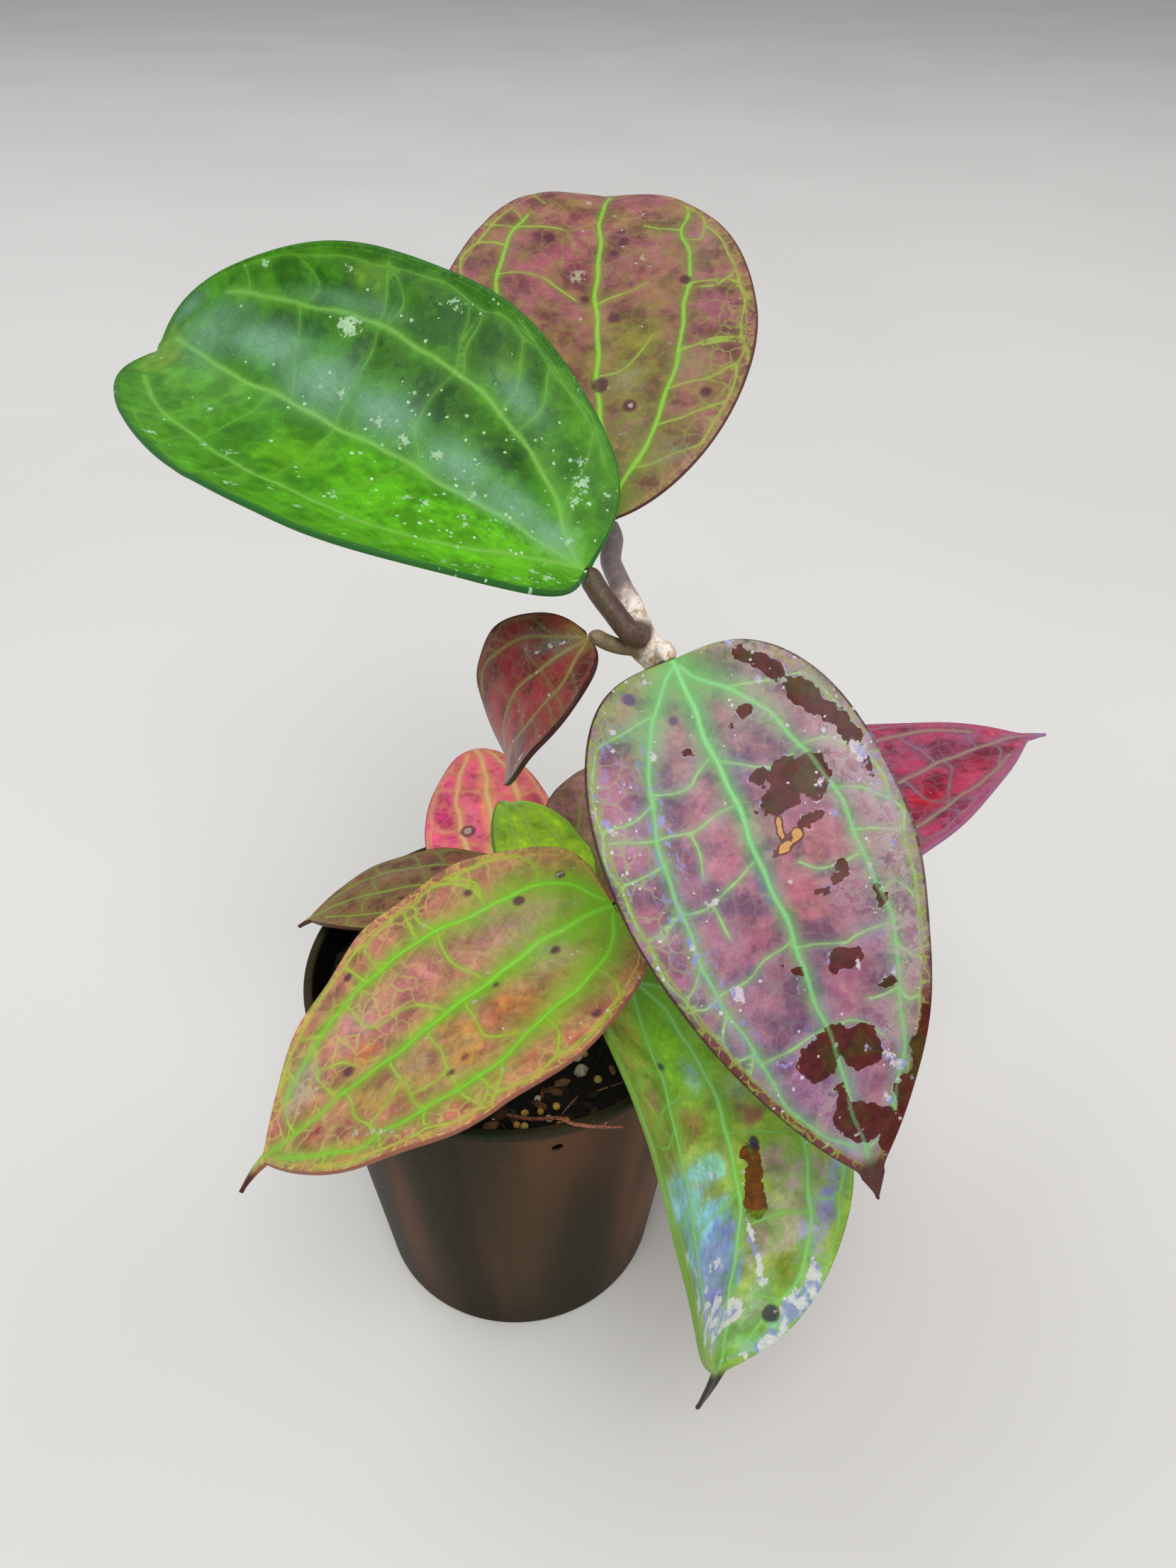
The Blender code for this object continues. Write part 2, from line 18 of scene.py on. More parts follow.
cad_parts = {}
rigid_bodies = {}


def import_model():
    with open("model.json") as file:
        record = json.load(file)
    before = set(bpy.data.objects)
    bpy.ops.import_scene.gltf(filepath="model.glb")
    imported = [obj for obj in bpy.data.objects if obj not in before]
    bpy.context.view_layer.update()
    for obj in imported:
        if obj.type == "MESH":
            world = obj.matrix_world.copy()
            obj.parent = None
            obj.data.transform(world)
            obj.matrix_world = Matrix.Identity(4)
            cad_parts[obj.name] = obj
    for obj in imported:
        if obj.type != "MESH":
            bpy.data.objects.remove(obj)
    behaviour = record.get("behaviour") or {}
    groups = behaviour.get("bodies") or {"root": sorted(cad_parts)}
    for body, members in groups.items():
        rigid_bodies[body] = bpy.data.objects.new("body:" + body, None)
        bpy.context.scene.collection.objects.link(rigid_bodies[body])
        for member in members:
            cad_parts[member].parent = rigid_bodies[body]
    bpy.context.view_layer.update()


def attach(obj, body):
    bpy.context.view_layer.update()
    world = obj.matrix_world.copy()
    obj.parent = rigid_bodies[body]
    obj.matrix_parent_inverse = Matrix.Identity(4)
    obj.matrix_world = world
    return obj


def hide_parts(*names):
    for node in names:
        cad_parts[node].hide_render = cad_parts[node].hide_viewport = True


MM = 0.001

# Camera: fitted to the pot's rim and foot, in metres and degrees
PHOTO_HEIGHT = 2212
FOCAL_PIXELS = 1661.0
SENSOR = 36.0
CAMERA_PLACE = (0.0135, -0.2080, 0.3274)
CAMERA_DOWN = 38.15
CAMERA_YAW = 1.46
CAMERA_ROLL = 1.0

# Pot
POT_HEIGHT = 106.0
POT_FOOT_R = 39.5
POT_BODY_R = 51.0
RIM_R = 52.0
RIM_DEPTH = 3.0
WALL = 1.2
FLOOR = 1.5
HANGER_HOLE_R = 1.4
HANGER_HOLE_Z = 97.0
HANGER_HOLE_ANGLE = -76.0
HANGER_HOLES = 4
DRAIN_HOLE_R = 3.5
DRAIN_RING_R = 27.0
DRAIN_HOLES = 6
INNER_CORNER = 0.8  # radii of the rounded corners in its section
RIM_CORNER = 0.6
LIP_CORNER = 0.5
FOOT_CORNER = 1.5
POT_SIDES = 192
HOLE_SIDES = 32
POT_DARK = (38, 30, 17)
# The next two tones paint reflections on the plastic: brown of the surroundings, olive of the leaves
POT_REFLECTED_BROWN = (116, 78, 52)
POT_REFLECTED_OLIVE = (46, 44, 28)
POT_LOW = (32, 30, 18)
POT_RIM = (34, 44, 32)
POT_INSIDE = (22, 18, 14)
POT_DUST = (120, 96, 74)

# Soil
SOIL_TOP = 96.0
SOIL_BUMP = 0.9
SOIL_RINGS = 62
SOIL_SIDES = 300
GAP = 0.3
SOIL_TONE = (14, 10, 8)
SOIL_BROWN = (66, 42, 28)
GRAIN_SEED = 11
GRAIN_REACH = 47.0
GRAIN_DETAIL = 2
STEM_CLEARANCE = 5.0
# Kinds of grain: length, width and height for size 1, roughness, and their tones
GRAIN_KINDS = {
    "bark": (1.5, 0.8, 0.6, 0.8, [(118, 80, 54), (86, 56, 38), (160, 116, 80), (52, 34, 24)]),
    "perlite": (1.0, 0.9, 0.85, 0.3, [(255, 252, 244), (238, 228, 212)]),
    "prill": (1.0, 1.0, 0.95, 0.1, [(244, 190, 84), (236, 206, 128), (222, 160, 66)]),
    "fibre": (4.0, 0.22, 0.22, 0.9, [(160, 96, 62), (120, 74, 50), (186, 130, 92)]),
}
# Loose grains: how many, of what kind, the least and the greatest size
GRAIN_COUNTS = [
    (170, "bark", 0.5, 1.5), (44, "perlite", 0.4, 1.2), (34, "prill", 0.8, 1.0), (40, "fibre", 0.6, 1.2),
]
# Grains that the photo shows: x, y, size, kind
GRAINS = [
    (17.6, -26.7, 1.8, "perlite"), (16.9, -22.3, 1.3, "perlite"), (10.0, -40.2, 1.0, "perlite"),
    (14.0, -40.5, 1.1, "prill"), (4.3, -38.6, 1.0, "prill"), (21.7, -28.7, 1.1, "prill"),
    (4.4, -42.7, 1.0, "prill"), (2.6, -42.0, 0.9, "prill"), (12.4, -41.6, 0.9, "prill"),
    (11.1, -33.0, 1.5, "bark"), (-3.6, -42.7, 1.6, "bark"), (-1.3, -39.0, 1.6, "bark"),
    (-44.6, 11.3, 1.6, "bark"), (20.6, -33.2, 1.2, "bark"), (7.6, -36.0, 1.3, "bark"),
    (24.0, -31.0, 1.0, "fibre"), (15.0, -36.4, 1.0, "fibre"), (0.6, -43.6, 1.1, "fibre"),
    (-42.0, 16.0, 1.0, "fibre"), (-45.0, 6.0, 0.9, "fibre"), (-43.0, 8.6, 1.2, "bark"),
]

# Stems
STEM_R = 2.5
TALL_STEM_FOOT = (26.0, -2.0)
SHORT_STEM_FOOT = (3.0, 2.0)
STEM_BURIED = 16.0
STRAND_R = 0.45
PETIOLE_END_R = 1.5
STEM_STEP = 0.8  # distance between the rings of a stem
STEM_SIDES = 28
PETIOLE_SIDES = 24
STEM_VOXEL = 0.34
STRAND_VOXEL = 0.12
TALL_BARK = (214, 188, 162)
SHORT_BARK = (112, 96, 66)
BUD_TONE = (92, 62, 50)
CORK_PALE = (252, 244, 234)
CORK_CRACK = (132, 98, 70)
BARK_DARK = (66, 48, 38)
BARK_OLIVE = (86, 84, 44)
BARK_BLOOM = (150, 130, 128)
ROOT_DARK = (118, 66, 48)
ROOT_PALE = (184, 118, 90)

# Leaves
BLADE = 1.2
KEEL = 2.4
MIDRIB_STEPS = 96
BASE_HALF_WIDTH = 1.5
TIP_HALF_WIDTH = 0.25
BIG_LEAF = 80.0  # blades longer than this have the coarser grid
BIG_GRID = 0.6  # distance between a large blade's points
SMALL_GRID = 0.5
ROUND_EDGE = 0.55  # how far in from the margin its rounding starts
EDGE_SINK = 0.35  # how far the rounding lowers the margin
EDGE_COLUMNS = (0.0, 0.1, 0.28, 0.6)  # distances of the outermost lines of points from the margin
BASE_GLOW = 0.9  # strength of the veins' glow at the base
FAR = 9.0  # no stored gap to a vein or margin is greater
SCAR_HEART = (214, 156, 92)
SCAR_EDGE = (88, 46, 36)

# Studio, in metres and watts
FLOOR_HALF = 40.0
LIGHT_TARGET = (0.02, 0.0, 0.15)
LIGHT_DISTANCE = 3.0
LIGHT_SIZE = 1.8
WORLD_TONE = (0.95, 0.97, 1.0)
WORLD_STRENGTH = 0.36


@dataclass
class Leaf:
    """One blade. Its midrib starts at base and bends down by arch evenly, by droop towards the tip."""

    base: tuple
    heading: float
    pitch: float
    roll: float
    length: float
    width: float
    arch: float = 0.0
    droop: float = 0.0
    droop_power: float = 3.0
    sweep: float = 0.0
    twist: float = 0.0
    fold: float = 5.0
    cup_right: float = 10.0
    cup_left: float = 10.0
    lobe: float = 0.04
    peak: float = 0.4
    full: float = 1.2
    tail: float = 0.06
    spout: float = 0.05
    point: float = 0.0
    wave: float = 0.5
    waves: float = 3.0
    turn_right: float = 0.0
    hook: float = 0.0
    seat: float = 0.5


LEAVES = {
    "leaf_top_left": Leaf(
        base=(17.5, 7.4, 213.7), heading=-73, pitch=28, roll=-18, length=117.0, width=80.5,
        arch=27, droop=75, droop_power=12, sweep=-5, twist=-26, fold=7, cup_right=20, cup_left=47,
        lobe=0.034, peak=0.44, full=1.24, wave=0.7, seat=0.8,
    ),
    "leaf_top_rear": Leaf(
        base=(23.4, 28.1, 215.1), heading=-8, pitch=39, roll=-11, length=109.5, width=73.0,
        arch=17, droop=95, droop_power=9, sweep=-12, twist=4, fold=6, cup_right=-3, cup_left=-5,
        lobe=0.006, peak=0.48, full=1.38, wave=0.6,
    ),
    "leaf_small_red": Leaf(
        base=(18.4, -0.4, 202.4), heading=-116, pitch=-17, roll=-9, length=41.5, width=35.5,
        arch=92, droop=8, sweep=-14, twist=15, fold=3, cup_right=16, cup_left=15,
        lobe=0.013, peak=0.48, full=1.23, spout=0.085, wave=0.3,
    ),
    "leaf_front_right": Leaf(
        base=(35.1, -4.5, 199.5), heading=155, pitch=-28, roll=19, length=117.0, width=60.0,
        arch=27, droop=11, sweep=-3, twist=-6, fold=8, cup_right=1, cup_left=3,
        lobe=0.019, peak=0.36, full=1.31, tail=0.05, spout=0.085, wave=0.8, waves=3.5, turn_right=1.6,
    ),
    "leaf_far_right": Leaf(
        base=(60.9, 8.8, 133.5), heading=58, pitch=10, roll=-5, length=92.0, width=58.0,
        arch=-2, droop=20, sweep=-12, twist=-7, fold=3, cup_right=8, cup_left=6,
        lobe=0.039, peak=0.31, full=1.23, point=0.3, seat=0.75,
    ),
    "leaf_front_left": Leaf(
        base=(24.6, -14.8, 140.6), heading=-117, pitch=-14, roll=-3, length=104.0, width=70.5,
        arch=21, droop=-2, sweep=1, twist=22, fold=5, cup_right=6, cup_left=6,
        lobe=0.045, peak=0.44, full=1.06, tail=0.09, point=0.45, wave=0.8, waves=4, hook=20, seat=0.75,
    ),
    "leaf_hanging": Leaf(
        base=(28.8, -18.5, 119.6), heading=143, pitch=0, roll=-15, length=108.5, width=61.5,
        arch=99, droop=-6, sweep=-14, twist=-1, fold=1, cup_right=46, cup_left=42,
        lobe=0.066, peak=0.41, full=1.15, tail=0.11, point=0.45, seat=0.9,
    ),
    "leaf_rear_left": Leaf(
        base=(0.9, 17.7, 116.9), heading=-92, pitch=8, roll=12, length=59.0, width=39.5,
        arch=28, droop=13, sweep=1, twist=4, fold=0, cup_right=-1, cup_left=-2,
        peak=0.41, full=1.21, point=0.35, wave=0.3,
    ),
    "leaf_rear_pink": Leaf(
        base=(-5.2, 25.6, 109.8), heading=-4, pitch=7, roll=-4, length=64.5, width=37.5,
        arch=2, droop=57, droop_power=7, sweep=9, twist=5, fold=1, cup_right=1, cup_left=1,
        lobe=0.030, peak=0.32, full=1.18, wave=0.3,
    ),
    "leaf_rear_green": Leaf(
        base=(12.3, 2.4, 123.0), heading=-18, pitch=17, roll=16, length=42.5, width=27.5,
        arch=13, droop=87, droop_power=9, sweep=-2, twist=2, fold=6, cup_right=10, cup_left=10,
        peak=0.36, full=1.17, wave=0.3,
    ),
    "leaf_rear_maroon": Leaf(
        base=(22.2, 11.7, 117.6), heading=10, pitch=13, roll=1, length=61.0, width=37.5,
        arch=21, droop=57, droop_power=7, sweep=3, twist=0, fold=5, cup_right=11, cup_left=10,
        lobe=0.041, peak=0.38, full=1.17, wave=0.3,
    ),
}

# Petioles: the points from the stem out, the radius, the straight run into the blade, the colour.
TALL_PETIOLES = {
    "leaf_top_left": (
        [
            (28.6, 3.0, 201.8), (27.9, -0.6, 202.8), (25.8, -0.3, 204.8), (23.6, 2.2, 206.7),
            (20.7, 5.2, 209.3),
        ],
        2.4, 1.8, (80, 50, 42),
    ),
    "leaf_top_rear": (
        [(26.4, 9.6, 205.6), (24.8, 14.0, 207.8), (23.3, 19.5, 209.6)], 2.3, 4.5, (132, 112, 122),
    ),
    "leaf_small_red": (
        [(30.2, 2.6, 198.4), (25.4, 0.8, 199.4), (21.8, 0.6, 200.8)], 1.7, 1.8, (148, 128, 98),
    ),
    "leaf_front_right": ([(32.0, 2.4, 198.0), (33.4, 0.4, 199.4)], 2.0, 2.5, (214, 184, 150)),
    "leaf_far_right": ([(39.2, 4.0, 141.0), (46.0, 4.4, 134.0)], 2.0, 6.0, (96, 62, 48)),
    "leaf_front_left": ([(38.6, 3.4, 146.0), (34.8, -4.0, 145.0)], 2.1, 5.0, (110, 104, 52)),
    "leaf_hanging": ([(28.8, -1.6, 111.0), (25.6, -8.0, 115.6)], 2.1, 5.0, (98, 104, 48)),
    "leaf_rear_maroon": ([(28.8, -1.4, 109.0), (24.0, 3.0, 112.6)], 1.6, 3.5, (92, 64, 46)),
}
SHORT_PETIOLES = {
    "leaf_rear_left": (
        [(3.2, 2.4, 102.0), (6.4, 9.5, 105.5), (7.6, 16.4, 112.0)], 1.4, 3.0, (92, 74, 44),
    ),
    "leaf_rear_pink": (
        [(3.0, 2.6, 102.0), (0.4, 10.0, 103.8), (-3.4, 17.4, 106.2)], 1.4, 3.5, (120, 70, 56),
    ),
    "leaf_rear_green": (
        [(3.4, 1.8, 103.4), (8.8, -1.6, 108.4), (13.0, -3.4, 115.4)], 1.4, 3.5, (96, 112, 46),
    ),
}
CORKY_PETIOLES = ("leaf_front_right",)
STRAND_FOOT = (0.4, -39.6)
STRAND_POINTS = [
    (6.0, -43.4, 100.6), (12.4, -47.6, 106.6), (16.0, -49.4, 106.9), (21.9, -50.8, 107.8),
    (26.7, -51.4, 108.7),
]
FORK_POINTS = [(21.9, -50.8, 107.8), (22.6, -50.7, 108.6), (23.0, -50.6, 109.4)]


@dataclass
class Look:
    """What is drawn on one blade. Colours are 0-255. An area is (s, t, reach in s, reach in t, strength)
    and a wash has a colour in place of the strength. A blob is (s, t, half size across, half size along,
    turn), and turn is in degrees."""

    slot: str
    ground: tuple
    gain: tuple = (1.0, 1.0, 1.0)  # scales ground and washes; where large, it brightens blades that the lamps leave dim, which is painted light
    washes: list = field(default_factory=list)
    wash_edge: float = 0.4  # 0 where the washes are soft, 1 where their outlines are crisp
    main: list = field(default_factory=list)  # main veins, as lists of (s, t)
    cross: list = field(default_factory=list)
    loops: tuple = (7, 7)  # veins from the side veins out to the margin, right and left
    main_width: tuple = (0.9, 0.35)  # half width of the midrib at the base and at the tip
    side_part: float = 0.7  # how wide the side veins are against the midrib
    vein_soft: float = 0.4  # how far the main veins' edges fade out
    cross_width: float = 0.3
    cross_strength: float = 0.85
    halo_strength: float = 0.35
    heart: tuple = ()  # colour in the middle of each cell between veins
    heart_strength: float = 0.4
    vein: tuple = (144, 183, 120)
    cross_vein: tuple = (150, 176, 116)
    glow: tuple = (140, 180, 110)
    glow_reach: tuple = (4.5, 1.3)
    glow_run: float = 0.18  # how far along the blade the glow narrows from one reach to the other
    glow_strength: float = 0.45
    net: tuple = (150, 160, 110)
    net_scale: float = 0.21
    net_width: float = 0.05
    nets: list = field(default_factory=list)  # areas
    net_least: float = 0.12
    blotch: tuple = (110, 60, 80)
    blotch_strength: float = 0.4
    tint: tuple = (160, 120, 90)
    tint_strength: float = 0.3
    margin: tuple = (70, 40, 44)
    brink: float = 0.6
    rim: tuple = ()  # colour of the band along the margin
    rim_strength: float = 0.6
    rim_reach: float = 2.6
    rim_span: tuple = (0.0, 0.1)
    rim_scale: float = 0.36
    margin_net: tuple = (190, 170, 100)
    margin_net_strength: float = 0.4
    tip: tuple = (90, 50, 50)
    tip_from: float = 0.94
    pools: list = field(default_factory=list)  # blobs
    pool: tuple = (104, 50, 44)
    pool_tint: tuple = (100, 92, 44)
    wet_sheens: list = field(default_factory=list)  # areas of painted sheen on the wet surface
    # colour of the painted sheen
    wet_sheen: tuple = (176, 168, 190)
    wet_sheen_even: float = 0.3  # how much of the painted sheen lies between its sheets
    # colour of the painted highlights along the sheen's ripples
    ripple_highlight: tuple = (216, 206, 206)
    streaks: list = field(default_factory=list)  # areas of painted bluish reflection in streaks
    # colour of the painted reflections in streaks, and of the glints' bluish parts
    streak: tuple = (160, 160, 216)
    glitters: list = field(default_factory=list)  # areas of painted sparkle highlights among the dust specks
    glints: list = field(default_factory=list)  # blobs
    glint: tuple = (222, 220, 226)
    scars: list = field(default_factory=list)  # blobs
    spots: list = field(default_factory=list)  # (s, t, radius)
    spot: tuple = (70, 36, 46)
    eyes: list = field(default_factory=list)  # pale middles of spots: (s, t, radius)
    spot_heart: tuple = (190, 178, 172)
    flecks: list = field(default_factory=list)  # (s, t, radius)
    fleck: tuple = (200, 212, 196)
    fleck_shade: tuple = (168, 184, 160)
    dust: float = 0.0  # how many tiny white specks
    dust_reach: tuple = (0.0, 1.0)
    mottle: float = 0.14
    grain: float = 0.06
    rough: float = 0.4
    gloss: float = 0.16
    under: tuple = (150, 130, 110)


def mirror(line):
    """A line of (s, t) on the other half of the blade."""
    return [(s, -t) for s, t in line]


def plain_veins(side):
    """Midrib and a pair of side veins for a small blade. side is where the side veins run."""
    shape = [(0.05, 0.3), (0.14, 0.62), (0.28, 0.86), (0.5, 1.0), (0.7, 1.08), (0.84, 1.0)]
    right = [(s, side * part) for s, part in shape]
    return [[(0.0, 0.0), (0.5, 0.02), (0.97, 0.0)], right, mirror(right)]


def plain_cross(side, count, lean=0.06):
    """Cross veins from the midrib to the side veins, at even steps on both sides."""
    lines = []
    for i in range(count):
        s = 0.16 + 0.66 * i / max(count - 1, 1)
        lines.append([(s, 0.0), (s + lean * 0.6, side * 0.5), (s + lean * 0.7, side)])
        s += 0.03
        lines.append([(s, 0.0), (s + lean * 0.6, -side * 0.5), (s + lean * 0.7, -side)])
    return lines


LOOKS = {
    "leaf_front_right": Look(
        slot="leaf_mauve", ground=(140, 102, 120), gain=(0.98, 1.02, 1.16),
        # The pale lavender washes near the tip, from s 0.76 to 0.88, are painted sheen on a wet patch.
        washes=[
            (0.0, 0.0, 0.095, 1.2, (112, 180, 90)), (0.06, 0.6, 0.06, 0.4, (116, 172, 84)),
            (0.02, -0.5, 0.03, 0.4, (96, 132, 60)), (0.2, 0.0, 0.16, 0.1, (120, 170, 112)),
            (0.3, 0.12, 0.07, 0.12, (134, 150, 124)), (0.34, -0.1, 0.06, 0.1, (136, 150, 128)),
            (0.13, 0.5, 0.05, 0.22, (124, 152, 108)), (0.66, 0.25, 0.05, 0.2, (112, 100, 128)),
            (0.8, 0.1, 0.05, 0.3, (126, 112, 142)), (0.62, -0.1, 0.04, 0.12, (122, 118, 134)),
            (0.15, 0.25, 0.10, 0.26, (150, 140, 132)),
            (0.09, -0.5, 0.03, 0.14, (104, 82, 112)), (0.17, -0.22, 0.06, 0.2, (128, 132, 128)),
            (0.24, -0.16, 0.05, 0.16, (118, 102, 126)), (0.30, 0.25, 0.06, 0.2, (168, 120, 128)),
            (0.37, 0.22, 0.05, 0.14, (186, 120, 132)), (0.40, -0.35, 0.05, 0.24, (172, 108, 108)),
            (0.47, -0.18, 0.05, 0.16, (178, 96, 104)), (0.43, 0.04, 0.05, 0.07, (100, 92, 126)),
            (0.52, 0.22, 0.06, 0.18, (166, 104, 120)), (0.60, 0.34, 0.06, 0.25, (124, 108, 122)),
            (0.62, -0.30, 0.06, 0.26, (148, 98, 120)), (0.60, -0.62, 0.06, 0.08, (132, 110, 140)),
            (0.45, 0.86, 0.12, 0.12, (160, 100, 116)), (0.22, 0.86, 0.10, 0.12, (176, 122, 138)),
            (0.70, 0.86, 0.08, 0.14, (146, 106, 140)), (0.76, 0.40, 0.08, 0.34, (138, 104, 146)),
            (0.88, 0.20, 0.03, 0.40, (168, 150, 178)), (0.70, -0.80, 0.08, 0.2, (160, 112, 124)),
            (0.2, -0.82, 0.14, 0.16, (170, 142, 140)), (0.45, -0.84, 0.14, 0.16, (168, 136, 136)),
        ],
        main=[
            [(0.0, 0.0), (0.3, 0.01), (0.6, 0.0), (0.85, 0.0), (0.97, 0.0)],
            [
                (0.02, 0.1), (0.05, 0.27), (0.14, 0.46), (0.235, 0.565), (0.35, 0.615), (0.47, 0.67),
                (0.58, 0.70), (0.68, 0.72), (0.73, 0.76), (0.79, 0.77), (0.845, 0.67), (0.875, 0.46),
                (0.89, 0.25),
            ],
            [
                (0.02, -0.08), (0.05, -0.17), (0.10, -0.375), (0.16, -0.5), (0.25, -0.57),
                (0.32, -0.61), (0.43, -0.645), (0.51, -0.69), (0.58, -0.715), (0.64, -0.715),
                (0.74, -0.72), (0.84, -0.70),
            ],
        ],
        cross=[
            [(0.19, 0.04), (0.21, 0.17), (0.23, 0.29), (0.22, 0.52)],
            [(0.28, 0.04), (0.295, 0.25), (0.30, 0.375), (0.29, 0.56), (0.275, 0.9)],
            [(0.30, 0.37), (0.34, 0.36), (0.38, 0.39)],
            [(0.38, 0.04), (0.40, 0.21), (0.425, 0.44), (0.42, 0.67), (0.44, 0.83)],
            [(0.425, 0.44), (0.48, 0.42)],
            [(0.52, 0.02), (0.535, 0.25), (0.556, 0.44), (0.565, 0.69), (0.57, 0.83), (0.555, 0.95)],
            [(0.68, 0.0), (0.68, 0.29), (0.685, 0.5), (0.69, 0.72)],
            [(0.67, 0.72), (0.67, 0.87)],
            [(0.2, 0.0), (0.246, -0.33), (0.243, -0.48)],
            [(0.43, -0.6), (0.436, -0.375), (0.41, -0.25)],
            [(0.534, 0.0), (0.556, -0.3), (0.553, -0.42), (0.545, -0.71)],
            [(0.65, -0.71), (0.655, -0.45)],
            [(0.68, -0.02), (0.68, -0.21), (0.695, -0.375), (0.716, -0.5)],
            [(0.855, -0.69), (0.887, -0.46), (0.897, -0.17)],
        ],
        loops=(8, 8), main_width=(0.7, 0.14), side_part=0.72, cross_width=0.15, cross_strength=0.95,
        heart=(164, 84, 98), heart_strength=0.35, vein=(126, 198, 122), cross_vein=(156, 200, 128),
        glow=(116, 184, 104), glow_reach=(5.5, 1.6), glow_run=0.22, glow_strength=0.5,
        net=(168, 178, 130), nets=[(0.3, 0.85, 0.3, 0.2, 0.5), (0.6, -0.85, 0.25, 0.2, 0.4)],
        blotch=(98, 74, 112), blotch_strength=0.45, tint=(180, 122, 132), tint_strength=0.35,
        margin=(64, 36, 34), rim=(112, 50, 44), rim_strength=0.9, rim_reach=2.4, rim_span=(0.5, 0.66),
        margin_net=(150, 164, 60), margin_net_strength=0.8, tip=(82, 46, 46), tip_from=0.905,
        pools=[
            (0.085, -0.76, 1.9, 5.6, 38), (0.165, -0.79, 2.5, 4.8, 30), (0.205, -0.86, 2.0, 4.2, 25),
            (0.245, -0.885, 1.5, 3.8, 17), (0.31, -0.88, 0.9, 2.4, 0), (0.143, -0.36, 2.0, 1.3, 0),
            (0.155, -0.2, 0.9, 0.8, 0),
            (0.285, -0.51, 4.2, 4.8, 0), (0.27, -0.39, 4.8, 3.2, -10), (0.3, -0.28, 4.6, 2.5, 0),
            (0.25, -0.22, 2.6, 1.6, -20), (0.35, -0.4, 3.2, 1.2, 10), (0.437, -0.48, 0.8, 0.5, 0),
            (0.452, -0.44, 1.0, 0.5, 0), (0.468, -0.36, 2.4, 0.9, 0), (0.462, -0.28, 0.9, 0.6, 0),
            (0.49, -0.655, 0.8, 3.2, 0), (0.58, -0.29, 3.4, 2.2, 0), (0.575, -0.42, 0.9, 0.8, 0),
            (0.573, 0.08, 1.9, 0.7, -35), (0.64, -0.6, 1.6, 0.5, 10), (0.725, -0.27, 4.2, 4.6, 0),
            (0.72, 0.2, 4.4, 3.8, 0), (0.69, -0.03, 3.6, 1.4, 0), (0.775, 0.06, 1.4, 0.9, 0),
            (0.855, -0.36, 4.4, 3.8, 0), (0.85, 0.0, 3.6, 4.2, 0), (0.82, 0.22, 1.8, 4.2, -20),
            (0.72, -0.96, 1.2, 4.0, -14), (0.775, -0.95, 1.7, 5.0, -18), (0.83, -0.9, 2.3, 5.0, -28),
            (0.885, -0.78, 2.8, 4.0, -35), (0.168, 0.21, 1.5, 0.8, 0),
        ],
        pool=(88, 28, 20), pool_tint=(78, 56, 14),
        wet_sheens=[
            (0.1, -0.82, 0.1, 0.2, 0.85), (0.28, -0.8, 0.1, 0.18, 0.9), (0.44, -0.82, 0.1, 0.18, 0.85),
            (0.58, -0.8, 0.08, 0.2, 0.8), (0.5, -0.5, 0.08, 0.2, 0.4), (0.8, 0.25, 0.05, 0.35, 0.6),
            (0.14, -0.5, 0.07, 0.16, 0.6), (0.7, -0.6, 0.05, 0.2, 0.6), (0.6, 0.75, 0.1, 0.12, 0.3),
        ],
        wet_sheen=(184, 166, 164), wet_sheen_even=0.15, ripple_highlight=(232, 220, 220),
        streaks=[
            (0.26, 0.55, 0.12, 0.12, 1.0), (0.5, 0.68, 0.16, 0.12, 1.0), (0.3, -0.88, 0.08, 0.1, 1.0),
            (0.75, -0.55, 0.05, 0.2, 0.8), (0.14, 0.8, 0.08, 0.12, 0.7),
        ],
        streak=(146, 150, 212),
        glitters=[
            (0.2, 0.84, 0.2, 0.18, 0.95), (0.5, 0.7, 0.2, 0.18, 0.6), (0.25, -0.75, 0.25, 0.2, 0.6),
            (0.15, 0.45, 0.06, 0.1, 0.8), (0.75, 0.6, 0.08, 0.3, 0.5),
        ],
        glints=[
            (0.28, -0.87, 1.6, 2.6, 0), (0.31, -0.54, 0.6, 1.6, -30), (0.745, -0.5, 3.0, 0.9, -35),
            (0.775, -0.74, 2.6, 1.4, -25), (0.835, -0.66, 0.8, 2.4, 10), (0.36, -0.56, 0.7, 1.0, 0),
            (0.62, -0.68, 1.0, 1.4, 0), (0.705, 0.53, 1.6, 0.7, -20), (0.25, 0.88, 0.9, 2.4, 10),
            (0.16, 0.45, 0.6, 1.6, 0), (0.03, -0.9, 1.2, 1.0, 0), (0.57, 0.56, 1.6, 1.8, 20),
            (0.1, 0.78, 0.7, 0.9, 0), (0.2, 0.93, 0.6, 1.6, 0), (0.36, 0.9, 0.5, 1.4, 0),
            (0.47, 0.67, 0.5, 1.2, 0), (0.11, -0.62, 0.9, 1.4, 20), (0.4, -0.66, 0.5, 1.6, 0),
            (0.53, -0.6, 0.7, 1.0, 20), (0.6, -0.4, 0.6, 1.4, 20), (0.86, 0.5, 2.6, 0.4, -10),
            (0.44, -0.84, 0.7, 1.0, 0), (0.34, -0.82, 0.6, 1.2, 20), (0.42, 0.42, 1.2, 0.5, 0),
        ],
        glint=(216, 206, 212),
        scars=[(0.378, -0.17, 2.6, 0.8, 14), (0.362, -0.27, 1.2, 0.9, 0), (0.35, -0.19, 0.5, 1.7, -10)],
        spots=[(0.11, 0.22, 0.9), (0.055, 0.66, 1.2)], spot=(100, 78, 118),
        flecks=[(0.03, 0.52, 0.9), (0.6, 0.1, 0.7)], fleck=(222, 214, 220), fleck_shade=(190, 184, 200),
        dust=0.3, rough=0.34, gloss=0.2, under=(150, 120, 126),
    ),
    "leaf_front_left": Look(
